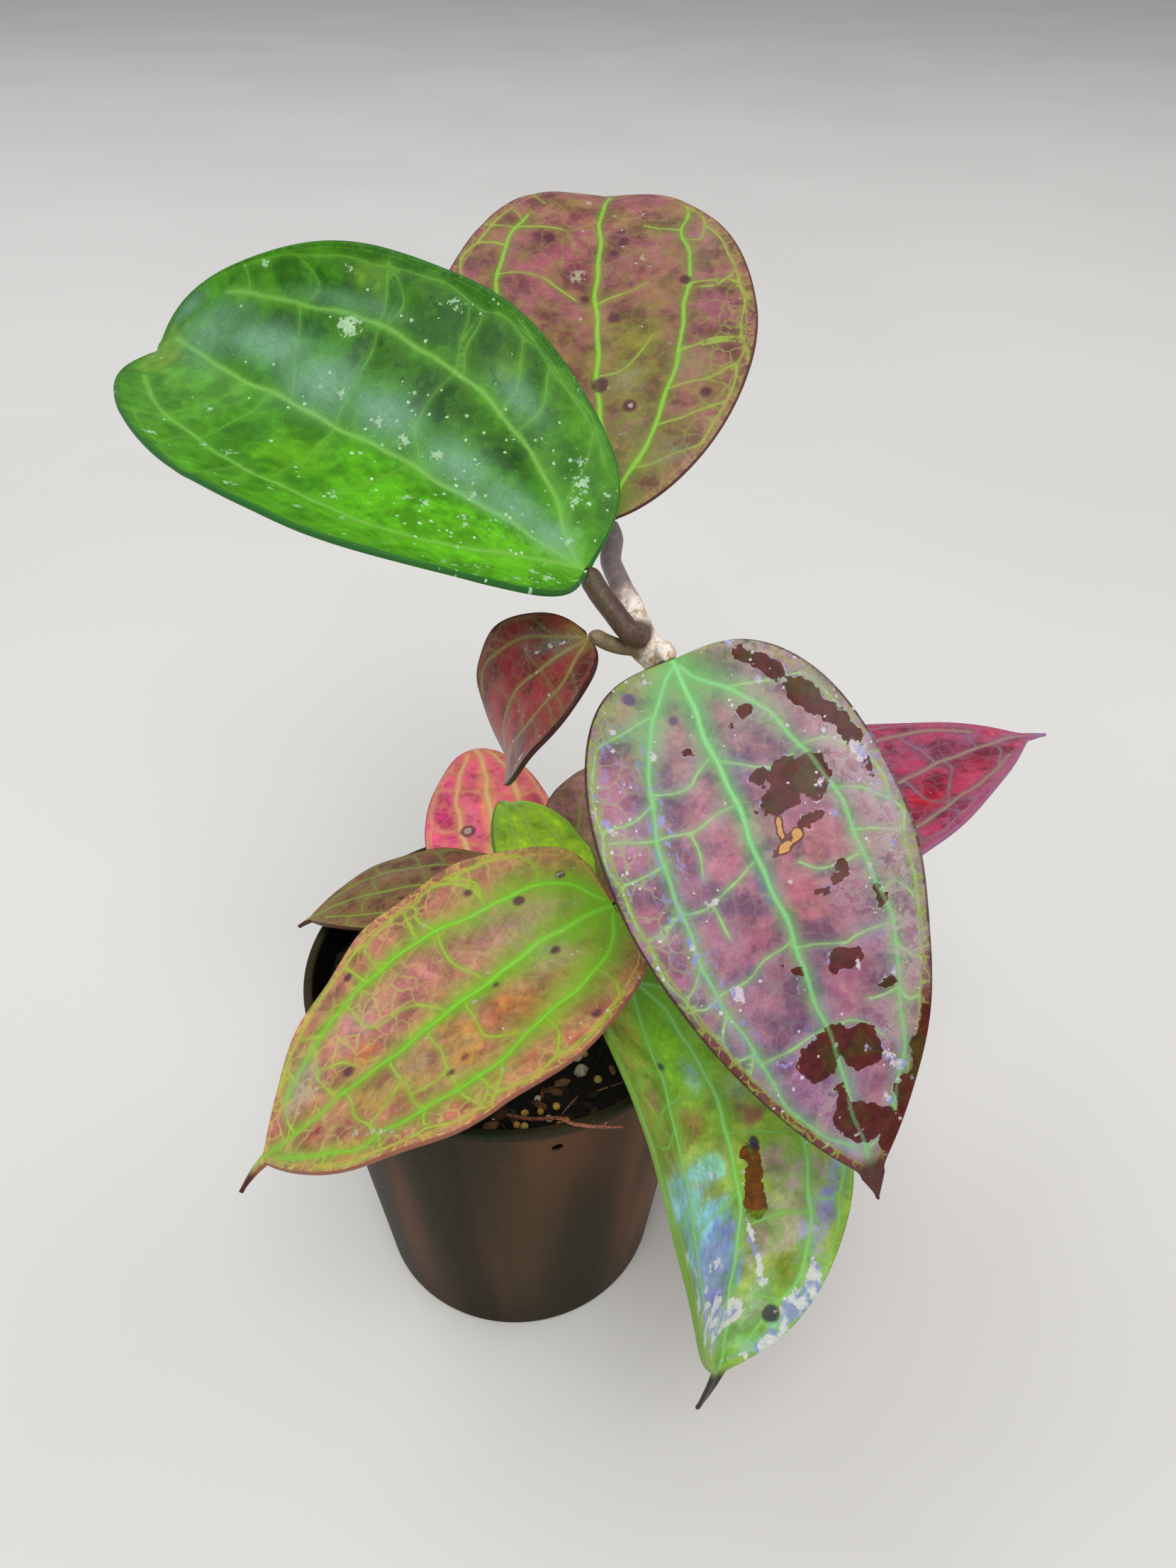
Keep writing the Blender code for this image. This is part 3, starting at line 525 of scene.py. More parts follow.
        slot="leaf_patterned", ground=(174, 114, 94), gain=(1.2, 1.08, 1.12),
        washes=[
            (0.03, 0.1, 0.12, 0.7, (112, 182, 24)), (0.12, -0.35, 0.1, 0.2, (134, 158, 52)),
            (0.16, -0.06, 0.14, 0.13, (108, 186, 32)), (0.38, -0.02, 0.14, 0.07, (124, 176, 36)),
            (0.12, 0.3, 0.07, 0.16, (142, 152, 92)),
            (0.2, -0.2, 0.08, 0.16, (150, 150, 84)), (0.24, -0.62, 0.06, 0.12, (140, 160, 60)),
            (0.12, -0.8, 0.1, 0.2, (150, 112, 70)), (0.1, 0.85, 0.1, 0.2, (176, 118, 88)),
            (0.2, 0.3, 0.08, 0.2, (150, 134, 96)), (0.2, -0.38, 0.03, 0.09, (176, 140, 60)),
            (0.3, -0.36, 0.06, 0.2, (190, 124, 62)), (0.43, -0.35, 0.05, 0.24, (180, 138, 60)),
            (0.55, -0.35, 0.08, 0.22, (160, 140, 66)), (0.64, -0.3, 0.05, 0.2, (150, 132, 60)),
            (0.35, -0.85, 0.25, 0.14, (182, 112, 84)), (0.6, -0.85, 0.1, 0.14, (170, 100, 88)),
            (0.3, 0.3, 0.07, 0.22, (176, 124, 108)), (0.45, 0.4, 0.1, 0.22, (180, 120, 112)),
            (0.56, 0.16, 0.04, 0.07, (176, 92, 104)), (0.62, 0.14, 0.04, 0.1, (196, 116, 56)),
            (0.4, 0.84, 0.3, 0.14, (172, 108, 98)), (0.62, 0.48, 0.07, 0.2, (178, 126, 124)),
            (0.78, 0.42, 0.06, 0.3, (158, 140, 128)), (0.79, -0.36, 0.05, 0.2, (160, 90, 74)),
            (0.87, -0.25, 0.03, 0.24, (116, 118, 30)), (0.75, -0.8, 0.1, 0.16, (172, 112, 74)),
            (0.8, 0.1, 0.05, 0.14, (176, 112, 62)),
            (0.80, -0.52, 0.014, 0.08, (140, 30, 58)), (0.81, -0.44, 0.012, 0.06, (132, 26, 52)),
            (0.77, -0.3, 0.014, 0.08, (150, 52, 66)), (0.785, -0.22, 0.01, 0.05, (140, 44, 60)),
        ],
        main=[
            [
                (0.0, 0.03), (0.05, 0.065), (0.3, 0.01), (0.48, -0.035), (0.66, -0.05),
                (0.83, -0.06), (0.97, 0.0),
            ],
            [
                (0.015, 0.25), (0.07, 0.545), (0.24, 0.55), (0.34, 0.58), (0.43, 0.625), (0.54, 0.65),
                (0.72, 0.656), (0.82, 0.6),
            ],
            [
                (0.01, -0.15), (0.06, -0.45), (0.16, -0.54), (0.28, -0.575), (0.37, -0.656),
                (0.48, -0.69), (0.6, -0.716), (0.64, -0.716), (0.70, -0.79), (0.83, -0.61), (0.88, -0.47),
            ],
        ],
        cross=[
            [(0.32, -0.557), (0.373, -0.43), (0.382, -0.326), (0.375, -0.04)],
            [(0.45, -0.93), (0.47, -0.663), (0.477, -0.1)],
            [(0.553, -0.68), (0.56, -0.5), (0.57, -0.33), (0.58, -0.1)],
            [(0.553, -0.52), (0.505, -0.52), (0.475, -0.47)],
            [(0.643, -0.716), (0.66, -0.575), (0.683, -0.415), (0.69, -0.04)],
            [(0.575, -0.33), (0.625, -0.47), (0.655, -0.575)],
            [(0.325, 0.065), (0.355, 0.24), (0.367, 0.365), (0.35, 0.56)],
            [(0.42, -0.02), (0.463, 0.17), (0.505, 0.24), (0.57, 0.277), (0.60, 0.42), (0.61, 0.65)],
            [(0.71, -0.02), (0.725, 0.135), (0.73, 0.38), (0.72, 0.656)],
            [(0.65, 0.12), (0.67, 0.24), (0.72, 0.37)],
            [(0.83, -0.04), (0.833, 0.24), (0.817, 0.56), (0.79, 0.81)],
            [(0.40, 0.62), (0.40, 0.88)],
            [(0.50, 0.64), (0.515, 0.86)],
            [(0.24, 0.55), (0.235, 0.77), (0.28, 0.92)],
        ],
        main_width=(1.0, 0.3), side_part=0.8, cross_width=0.18, cross_strength=0.95,
        vein_soft=0.85, wash_edge=0.55, halo_strength=0.4, vein=(122, 198, 44), cross_vein=(170, 198, 66),
        glow=(126, 188, 30), glow_reach=(7.0, 2.5), glow_run=0.6, glow_strength=0.62,
        net=(198, 186, 96), net_scale=0.18,
        nets=[
            (0.6, 0.4, 0.2, 0.4, 0.75), (0.82, 0.3, 0.12, 0.8, 0.85), (0.5, -0.86, 0.4, 0.12, 0.6),
            (0.3, 0.86, 0.3, 0.12, 0.7), (0.75, -0.7, 0.12, 0.3, 0.6),
        ],
        blotch=(160, 92, 84), blotch_strength=0.45, tint=(178, 146, 100), tint_strength=0.5,
        margin=(150, 92, 74), brink=0.25, rim_reach=2.5, margin_net=(206, 178, 84),
        margin_net_strength=0.9, rim_scale=0.27, tip=(74, 38, 36), tip_from=0.93,
        spots=[
            (0.162, -0.11, 1.1), (0.174, 0.48, 1.3), (0.257, 0.727, 0.9), (0.433, -0.475, 0.7),
            (0.472, -0.52, 0.8), (0.667, 0.117, 1.2), (0.306, -0.067, 0.6), (0.186, -0.86, 1.0),
            (0.577, 0.826, 1.0), (0.08, 0.64, 0.9),
        ],
        spot=(92, 46, 66), eyes=[(0.16, -0.13, 0.3), (0.17, 0.49, 0.2)],
        wet_sheens=[
            (0.78, 0.42, 0.05, 0.26, 0.75), (0.22, 0.3, 0.08, 0.24, 0.3), (0.52, -0.28, 0.06, 0.16, 0.3),
            (0.94, 0.2, 0.02, 0.5, 0.6), (0.17, -0.1, 0.05, 0.2, 0.35), (0.58, 0.3, 0.08, 0.2, 0.25),
        ],
        wet_sheen=(182, 164, 158), ripple_highlight=(206, 192, 176), mottle=0.2, grain=0.1,
        flecks=[
            (0.62, -0.79, 0.9), (0.64, -0.72, 1.1), (0.66, -0.68, 1.1), (0.69, -0.61, 1.0),
            (0.36, -0.08, 0.8), (0.386, 0.37, 0.8), (0.37, 0.68, 0.9), (0.085, 0.64, 0.8),
            (0.38, -0.75, 0.6), (0.31, -0.56, 0.6),
        ],
        fleck=(206, 208, 190), fleck_shade=(178, 186, 166), dust=0.45, dust_reach=(0.0, 0.5),
        under=(170, 140, 110),
    ),
    "leaf_top_left": Look(
        slot="leaf_green", ground=(58, 124, 18),
        washes=[
            (0.42, 0.8, 0.34, 0.24, (26, 82, 6)), (0.14, 0.84, 0.1, 0.14, (70, 132, 20)),
            (0.22, 0.4, 0.06, 0.16, (14, 58, 4)), (0.36, 0.4, 0.07, 0.16, (16, 62, 4)),
            (0.5, 0.44, 0.06, 0.14, (14, 60, 4)), (0.66, 0.52, 0.1, 0.14, (22, 76, 8)),
            (0.3, 0.76, 0.03, 0.1, (86, 140, 20)), (0.58, 0.84, 0.03, 0.09, (112, 160, 28)),
            (0.15, -0.45, 0.18, 0.42, (104, 194, 26)), (0.38, -0.42, 0.16, 0.4, (92, 178, 24)),
            (0.45, -0.46, 0.05, 0.1, (52, 122, 16)), (0.52, -0.3, 0.06, 0.2, (88, 154, 22)),
            (0.6, -0.3, 0.04, 0.1, (58, 124, 26)), (0.45, -0.84, 0.30, 0.14, (78, 152, 22)),
            (0.75, -0.4, 0.08, 0.5, (84, 150, 44)), (0.9, -0.1, 0.06, 0.6, (110, 146, 46)),
            (0.97, 0.0, 0.04, 0.8, (122, 150, 52)), (0.05, 0.1, 0.05, 0.3, (110, 176, 84)),
            (0.77, 0.3, 0.05, 0.3, (70, 120, 60)),
        ],
        main=[
            [(0.0, 0.0), (0.35, 0.0), (0.68, 0.0), (0.79, 0.04), (0.845, 0.087), (0.887, 0.24)],
            [
                (0.015, 0.06), (0.064, 0.21), (0.118, 0.37), (0.214, 0.49), (0.32, 0.54), (0.43, 0.57),
                (0.556, 0.593), (0.684, 0.605), (0.77, 0.646), (0.807, 0.69),
            ],
            [
                (0.015, -0.06), (0.064, -0.18), (0.139, -0.33), (0.214, -0.47), (0.3, -0.55),
                (0.43, -0.58), (0.534, -0.6), (0.64, -0.62), (0.75, -0.64), (0.855, -0.6),
            ],
        ],
        cross=[
            [(0.1, 0.87), (0.16, 0.947), (0.246, 0.9), (0.32, 0.96)],
            [(0.23, 0.49), (0.22, 0.68), (0.246, 0.9)],
            [(0.34, 0.025), (0.39, 0.24), (0.374, 0.55), (0.395, 0.74), (0.41, 0.9)],
            [(0.5, 0.0), (0.515, 0.24), (0.526, 0.57), (0.54, 0.74), (0.565, 0.93)],
            [(0.60, 0.025), (0.64, 0.305), (0.675, 0.6)],
            [(0.347, 0.0), (0.385, -0.25), (0.41, -0.41)],
            [(0.5, 0.0), (0.50, -0.58)],
            [(0.64, 0.0), (0.645, -0.25), (0.65, -0.62)],
            [(0.694, 0.0), (0.71, -0.25), (0.737, -0.63)],
            [(0.34, -0.58), (0.36, -0.81)],
            [(0.556, -0.6), (0.575, -1.0)],
            [(0.737, -0.64), (0.78, -1.0)],
        ],
        loops=(6, 6), main_width=(0.38, 0.18), side_part=0.85, cross_width=0.14, cross_strength=0.6,
        wash_edge=0.75, vein_soft=0.8, halo_strength=0.25, vein=(124, 188, 76), cross_vein=(104, 170, 50),
        glow=(100, 170, 46), glow_reach=(4.0, 1.8), glow_strength=0.4, net=(96, 160, 44), net_least=0.06,
        blotch=(48, 112, 14), blotch_strength=0.3, tint=(92, 164, 26), tint_strength=0.25,
        margin=(46, 106, 46), brink=0.28, margin_net=(110, 176, 60), margin_net_strength=0.15,
        rim=(26, 88, 26), rim_strength=0.25, rim_reach=1.3, tip=(88, 124, 46),
        wet_sheens=[
            (0.08, 0.1, 0.05, 0.13, 0.8), (0.16, 0.12, 0.07, 0.11, 0.75), (0.28, 0.14, 0.07, 0.11, 0.8),
            (0.44, 0.18, 0.07, 0.12, 0.9), (0.57, 0.18, 0.07, 0.16, 0.95), (0.69, 0.28, 0.08, 0.14, 0.9),
            (0.26, 0.66, 0.05, 0.08, 0.6), (0.6, 0.66, 0.1, 0.06, 0.4), (0.82, 0.3, 0.06, 0.3, 0.6),
            (0.2, 0.02, 0.1, 0.05, 0.5), (0.88, 0.7, 0.03, 0.2, 0.6),
        ],
        wet_sheen=(132, 178, 152), wet_sheen_even=0.8, ripple_highlight=(156, 198, 168), mottle=0.1, grain=0.05,
        flecks=[
            (0.10, 0.62, 2.0), (0.09, 0.5, 1.2), (0.12, 0.72, 1.2), (0.053, -0.52, 1.4),
            (0.08, -0.46, 0.9), (0.10, -0.7, 1.0), (0.05, 0.18, 1.0), (0.155, -0.18, 0.8),
            (0.22, -0.16, 1.2), (0.21, -0.22, 0.9), (0.285, -0.2, 1.2), (0.315, -0.23, 0.9),
            (0.23, 0.04, 1.1), (0.25, 0.2, 0.8), (0.32, 0.12, 1.5), (0.385, 0.10, 1.5),
            (0.436, 0.12, 1.3), (0.526, 0.165, 1.2), (0.577, 0.53, 2.6), (0.41, -0.457, 1.4),
            (0.42, -0.72, 1.0), (0.513, -0.85, 1.4), (0.59, -0.56, 1.1), (0.63, -0.63, 0.9),
            (0.43, 0.86, 1.5), (0.76, 0.88, 1.2), (0.62, 0.84, 0.8), (0.7, -0.34, 0.9),
            (0.7, -0.88, 1.2), (0.48, -0.66, 0.9), (0.36, -0.62, 0.8), (0.06, 0.82, 1.0),
            (0.19, 0.95, 0.8), (0.187, -0.78, 1.1), (0.155, -0.64, 0.8),
        ],
        fleck=(196, 228, 190), fleck_shade=(150, 196, 150), dust=1.5, dust_reach=(0.0, 0.75),
        glitters=[(0.12, 0.5, 0.04, 0.14, 0.8), (0.36, 0.42, 0.06, 0.1, 0.6), (0.28, 0.05, 0.05, 0.2, 0.4)],
        rough=0.34, gloss=0.14, under=(120, 160, 80),
    ),
    "leaf_top_rear": Look(
        slot="leaf_olive", ground=(148, 92, 88), gain=(1.0, 1.0, 1.12),
        washes=[
            (0.12, 0.35, 0.1, 0.5, (112, 110, 56)), (0.12, -0.5, 0.12, 0.4, (112, 106, 52)),
            (0.3, 0.28, 0.12, 0.25, (122, 122, 44)), (0.42, 0.25, 0.08, 0.2, (128, 124, 48)),
            (0.35, -0.35, 0.12, 0.3, (130, 96, 62)), (0.28, 0.75, 0.08, 0.14, (136, 100, 74)),
            (0.45, 0.8, 0.08, 0.16, (142, 84, 92)), (0.15, 0.9, 0.06, 0.1, (160, 108, 112)),
            (0.55, 0.3, 0.06, 0.2, (142, 92, 76)), (0.6, -0.25, 0.08, 0.3, (152, 84, 88)),
            (0.68, 0.2, 0.06, 0.2, (136, 74, 84)), (0.7, -0.35, 0.05, 0.2, (130, 72, 76)),
            (0.72, 0.45, 0.04, 0.2, (128, 118, 60)), (0.58, -0.85, 0.1, 0.16, (148, 88, 92)),
            (0.78, 0.0, 0.06, 0.6, (154, 90, 84)), (0.8, -0.4, 0.04, 0.25, (156, 118, 74)),
            (0.92, 0.0, 0.05, 0.8, (156, 106, 92)), (0.02, 0.0, 0.04, 1.0, (110, 122, 54)),
            (0.68, 0.85, 0.08, 0.12, (150, 104, 100)),
        ],
        main=[
            [(0.0, 0.0), (0.4, 0.0), (0.7, 0.01), (0.8, 0.03), (0.87, 0.1)],
            [
                (0.02, 0.06), (0.07, 0.2), (0.137, 0.37), (0.25, 0.47), (0.377, 0.52), (0.525, 0.586),
                (0.617, 0.644), (0.697, 0.68), (0.765, 0.85),
            ],
            [
                (0.02, -0.06), (0.07, -0.2), (0.137, -0.37), (0.25, -0.47), (0.377, -0.56),
                (0.53, -0.647), (0.64, -0.667), (0.7, -0.71), (0.75, -0.675),
            ],
        ],
        cross=[
            [(0.183, 0.42), (0.205, 0.71), (0.23, 0.92)],
            [(0.363, 0.52), (0.368, 0.88), (0.32, 0.97)],
            [(0.534, 0.59), (0.537, 0.87), (0.485, 0.95)],
            [(0.50, 0.0), (0.52, 0.16), (0.55, 0.335)],
            [(0.32, 0.03), (0.34, 0.2), (0.41, 0.335)],
            [(0.70, 0.68), (0.72, 0.4)],
            [(0.577, -0.65), (0.577, -0.38), (0.548, -0.26), (0.514, -0.13)],
            [(0.708, -0.71), (0.725, -1.0)],
            [(0.714, -0.67), (0.714, -0.31)],
            [(0.8, -0.62), (0.845, -1.0)],
        ],
        loops=(6, 6), main_width=(0.55, 0.25), side_part=0.85, cross_width=0.16, cross_strength=0.9,
        wash_edge=0.6, halo_strength=0.3, vein=(136, 200, 60), cross_vein=(156, 180, 74), glow=(126, 150, 48),
        glow_reach=(3.0, 1.4), glow_strength=0.5, net=(150, 156, 76),
        nets=[(0.3, 0.85, 0.3, 0.2, 0.6), (0.7, 0.0, 0.15, 0.9, 0.3)],
        blotch=(112, 54, 68), blotch_strength=0.5, tint=(132, 120, 52), tint_strength=0.4,
        margin=(92, 54, 48), margin_net=(176, 150, 90), margin_net_strength=0.6, tip=(128, 84, 74),
        spots=[
            (0.24, 0.216, 1.5), (0.30, 0.01, 1.8), (0.46, 0.11, 1.3), (0.25, 0.75, 1.2),
            (0.548, 0.58, 1.3), (0.514, -0.075, 1.0), (0.64, 0.12, 1.0), (0.67, 0.2, 1.1),
            (0.68, -0.38, 1.4),
        ],
        spot=(88, 42, 56), eyes=[(0.24, 0.22, 0.7), (0.655, 0.19, 0.5)],
        wet_sheens=[
            (0.12, 0.65, 0.03, 0.14, 0.8), (0.3, 0.2, 0.03, 0.12, 0.8), (0.33, 0.6, 0.05, 0.16, 0.45),
            (0.2, 0.25, 0.04, 0.16, 0.3), (0.62, 0.7, 0.12, 0.2, 0.3),
        ],
        wet_sheen=(142, 140, 108), ripple_highlight=(176, 160, 140),
        glints=[(0.1, 0.94, 0.4, 1.4, 0), (0.66, 0.2, 0.5, 0.6, 0)],
        flecks=[
            (0.575, -0.127, 2.0), (0.177, 0.164, 1.0), (0.76, 0.39, 1.0), (0.82, -0.16, 1.2),
            (0.62, 0.32, 1.0), (0.59, 0.36, 0.6), (0.49, -0.1, 0.5), (0.375, 0.46, 0.7),
        ],
        fleck=(196, 190, 168), fleck_shade=(168, 150, 128), dust=0.25, rough=0.42, gloss=0.14,
        under=(150, 120, 110),
    ),
    "leaf_hanging": Look(
        slot="leaf_hanging", ground=(118, 150, 48), gain=(1.9, 1.56, 2.2), wash_edge=0.85,
        # The turquoise and blue-lavender washes towards the tip, from s 0.44 to 0.74, are painted sheen.
        washes=[
            (0.15, 0.1, 0.16, 0.36, (98, 176, 8)), (0.12, -0.3, 0.14, 0.2, (104, 164, 30)),
            (0.08, 0.6, 0.06, 0.3, (142, 136, 48)), (0.16, 0.6, 0.04, 0.2, (118, 128, 34)),
            (0.26, 0.07, 0.03, 0.08, (130, 190, 110)), (0.29, 0.6, 0.025, 0.16, (110, 88, 60)),
            (0.35, 0.27, 0.035, 0.2, (120, 100, 44)), (0.36, 0.65, 0.04, 0.2, (112, 116, 54)),
            (0.36, -0.3, 0.03, 0.16, (104, 66, 52)), (0.32, -0.4, 0.04, 0.2, (110, 146, 52)),
            (0.44, 0.24, 0.025, 0.2, (112, 200, 158)), (0.47, 0.65, 0.05, 0.3, (108, 182, 176)),
            (0.48, 0.2, 0.015, 0.16, (124, 160, 14)), (0.5, -0.5, 0.08, 0.2, (112, 136, 72)),
            (0.61, 0.4, 0.1, 0.44, (112, 134, 150)), (0.53, 0.34, 0.04, 0.34, (104, 178, 172)),
            (0.56, 0.66, 0.05, 0.2, (102, 166, 166)), (0.57, 0.2, 0.035, 0.2, (88, 104, 146)),
            (0.6, 0.5, 0.04, 0.2, (90, 110, 148)), (0.66, 0.4, 0.04, 0.34, (96, 104, 150)),
            (0.64, 0.12, 0.05, 0.14, (98, 140, 166)),
            (0.56, -0.82, 0.035, 0.1, (108, 104, 156)), (0.5, -0.88, 0.03, 0.1, (104, 116, 140)),
            (0.59, -0.36, 0.07, 0.3, (124, 124, 94)), (0.5, -0.66, 0.04, 0.14, (128, 118, 108)),
            (0.66, -0.48, 0.03, 0.12, (90, 120, 8)), (0.7, -0.3, 0.03, 0.2, (112, 146, 84)),
            (0.74, 0.45, 0.035, 0.3, (146, 144, 170)), (0.74, -0.3, 0.04, 0.3, (116, 150, 100)),
            (0.6, -0.72, 0.06, 0.14, (124, 126, 140)), (0.47, -0.4, 0.04, 0.12, (130, 116, 100)),
            (0.8, 0.0, 0.04, 0.6, (104, 170, 84)), (0.85, 0.2, 0.03, 0.7, (72, 148, 30)),
            (0.8, -0.75, 0.04, 0.14, (120, 180, 140)), (0.2, 0.85, 0.2, 0.14, (116, 128, 44)),
        ],
        main=[
            [
                (0.0, -0.03), (0.07, -0.085), (0.29, -0.07), (0.495, -0.045), (0.62, 0.04),
                (0.71, 0.14), (0.83, 0.16), (0.92, 0.05),
            ],
            [
                (0.015, 0.06), (0.06, 0.18), (0.14, 0.3), (0.25, 0.38), (0.35, 0.443),
                (0.45, 0.52), (0.6, 0.62), (0.76, 0.66),
            ],
            [
                (0.02, -0.12), (0.06, -0.3), (0.2, -0.48), (0.35, -0.6), (0.46, -0.66), (0.55, -0.654),
                (0.63, -0.695), (0.69, -0.715), (0.73, -0.61), (0.82, -0.4),
            ],
        ],
        cross=[
            [(0.30, 0.02), (0.30, 0.4), (0.346, 0.79)],
            [(0.38, -0.07), (0.41, -0.39), (0.42, -0.64)],
            [(0.565, -0.65), (0.565, -0.35), (0.576, -0.02)],
            [(0.73, -0.61), (0.72, -0.27), (0.68, 0.1)],
            [(0.16, -0.08), (0.2, -0.3), (0.22, -0.5)],
            [(0.5, -0.04), (0.53, 0.3), (0.55, 0.6)],
        ],
        main_width=(0.7, 0.3), side_part=0.8, cross_width=0.18, cross_strength=0.9,
        halo_strength=0.3, vein=(134, 206, 104), cross_vein=(134, 194, 92), glow=(116, 184, 52),
        glow_reach=(4.0, 1.8), glow_run=0.4, net=(136, 180, 74),
        nets=[(0.35, 0.5, 0.1, 0.4, 0.5), (0.55, -0.8, 0.2, 0.2, 0.4)],
        blotch=(118, 88, 40), blotch_strength=0.22, tint=(100, 168, 24), tint_strength=0.4,
        margin=(112, 152, 56), brink=0.35,
        margin_net=(150, 190, 80), margin_net_strength=0.3, tip=(46, 22, 36), tip_from=0.875,
        pools=[
            (0.46, -0.22, 2.2, 4.8, -8), (0.525, -0.18, 3.1, 4.6, 0), (0.435, -0.16, 1.2, 1.6, 0),
        ],
        pool=(112, 56, 14), pool_tint=(104, 132, 12),
        wet_sheens=[
            (0.44, 0.26, 0.025, 0.18, 0.8), (0.46, 0.62, 0.04, 0.3, 0.6), (0.56, 0.45, 0.06, 0.3, 0.3),
            (0.74, 0.4, 0.04, 0.34, 0.6), (0.83, -0.62, 0.025, 0.3, 0.8), (0.25, 0.06, 0.03, 0.08, 0.7),
            (0.31, -0.25, 0.02, 0.08, 0.6), (0.72, -0.85, 0.05, 0.14, 0.6),
        ],
        wet_sheen=(150, 202, 196), ripple_highlight=(206, 220, 214),
        streaks=[(0.56, -0.78, 0.05, 0.12, 0.6), (0.63, 0.3, 0.06, 0.3, 0.5)], streak=(140, 150, 206),
        glints=[
            (0.7, -0.89, 2.3, 6.4, -14), (0.745, -0.82, 2.9, 4.2, -25), (0.81, -0.86, 1.7, 5.2, -35),
            (0.845, -0.62, 4.4, 1.0, 12), (0.625, -0.17, 1.3, 6.4, 16), (0.69, -0.27, 2.0, 1.2, 0),
            (0.735, 0.06, 2.8, 3.4, 0), (0.62, 0.32, 4.6, 1.2, -14), (0.63, 0.8, 1.8, 6.0, 0),
            (0.715, 0.7, 2.6, 5.0, -20), (0.765, 0.34, 4.4, 1.4, 10), (0.78, 0.55, 1.6, 3.0, 0),
            (0.455, 0.2, 1.6, 0.7, 0), (0.47, 0.38, 0.9, 1.4, 0), (0.55, 0.82, 0.8, 2.0, 0),
            (0.72, 0.42, 2.4, 4.6, -10), (0.745, 0.24, 1.6, 3.0, 20), (0.66, 0.62, 3.0, 1.2, 10),
        ],
        glint=(226, 224, 226),
        spots=[(0.42, -0.256, 1.3), (0.757, -0.56, 1.9), (0.762, -0.62, 1.5), (0.225, 0.32, 0.8)],
        spot=(52, 28, 66), eyes=[(0.755, -0.63, 0.5)], dust=0.2, fleck=(206, 220, 206), rough=0.32,
        gloss=0.22, under=(140, 160, 90),
    ),
    "leaf_far_right": Look(
        slot="leaf_crimson", ground=(160, 58, 84),
        washes=[
            (0.55, 0.45, 0.06, 0.2, (196, 40, 62)), (0.74, 0.36, 0.05, 0.22, (128, 28, 48)),
            (0.47, 0.42, 0.06, 0.2, (184, 22, 42)), (0.5, -0.3, 0.08, 0.2, (142, 74, 112)),
            (0.62, -0.5, 0.06, 0.2, (150, 60, 88)), (0.75, -0.4, 0.08, 0.3, (140, 86, 118)),
            (0.85, 0.0, 0.05, 0.4, (160, 84, 116)), (0.92, 0.0, 0.05, 0.7, (166, 104, 140)),
            (0.62, 0.86, 0.2, 0.12, (196, 92, 132)), (0.4, -0.86, 0.3, 0.12, (176, 44, 68)),
            (0.66, 0.6, 0.05, 0.2, (182, 66, 100)), (0.58, 0.1, 0.04, 0.1, (190, 66, 100)),
            (0.47, -0.1, 0.05, 0.3, (112, 72, 96)), (0.64, -0.25, 0.04, 0.2, (116, 78, 98)),
            (0.56, -0.6, 0.05, 0.2, (176, 48, 72)), (0.7, -0.55, 0.03, 0.16, (172, 40, 60)),
        ],
        main=[
            [(0.0, 0.0), (0.5, 0.03), (0.71, 0.01), (0.8, -0.03), (0.96, 0.0)],
            [(0.04, 0.2), (0.16, 0.5), (0.37, 0.66), (0.516, 0.7), (0.6, 0.746), (0.68, 0.77), (0.8, 0.7)],
            [(0.04, -0.2), (0.16, -0.5), (0.37, -0.64), (0.516, -0.68), (0.68, -0.72), (0.8, -0.68)],
        ],
        cross=[
            [(0.5, 0.03), (0.49, 0.42), (0.51, 0.68)],
            [(0.64, 0.03), (0.625, 0.29), (0.523, 0.66)],
            [(0.815, -0.07), (0.80, 0.42), (0.73, 0.72)],
            [(0.62, 0.0), (0.625, -0.35), (0.61, -0.68)],
            [(0.76, -0.05), (0.79, -0.61)],
            [(0.3, 0.0), (0.33, 0.6)],
            [(0.3, 0.0), (0.34, -0.6)],
        ],
        main_width=(0.62, 0.36), side_part=0.85, cross_width=0.26, cross_strength=0.8,
        wash_edge=0.7, vein_soft=0.8, halo_strength=0.4, heart=(190, 26, 52), heart_strength=0.35,
        vein=(160, 138, 114), cross_vein=(146, 122, 126), glow=(118, 76, 102),
        glow_reach=(2.6, 1.2), glow_strength=0.6,
        net=(150, 110, 124), net_least=0.3, blotch=(108, 34, 56), blotch_strength=0.6,
        tint=(186, 68, 104), tint_strength=0.5, margin=(158, 100, 136), brink=0.4,
        margin_net=(168, 110, 130), margin_net_strength=0.6, rim=(186, 84, 122), rim_strength=0.5,
        tip=(150, 118, 156), wet_sheens=[(0.6, -0.4, 0.15, 0.4, 0.3), (0.93, 0.0, 0.04, 0.6, 0.5)],
        wet_sheen=(150, 122, 156), ripple_highlight=(176, 142, 168), dust=0.04, fleck=(196, 160, 180),
        under=(150, 90, 90),
    ),
    "leaf_small_red": Look(
        slot="leaf_dark_red", ground=(128, 48, 50), gain=(1.4, 1.0, 1.0),
        washes=[
            (0.03, 0.1, 0.06, 0.8, (106, 140, 56)), (0.12, 0.2, 0.08, 0.3, (104, 96, 70)),
            (0.2, -0.5, 0.12, 0.3, (120, 58, 52)), (0.5, -0.2, 0.2, 0.3, (138, 50, 56)),
            (0.7, 0.2, 0.15, 0.5, (158, 48, 62)), (0.35, 0.8, 0.25, 0.16, (112, 40, 48)),
            (0.35, 0.3, 0.08, 0.2, (92, 40, 46)), (0.9, 0.0, 0.08, 0.6, (142, 72, 74)),
        ],
        main=[
            [(0.0, 0.0), (0.3, 0.06), (0.6, 0.14), (0.85, 0.1)],
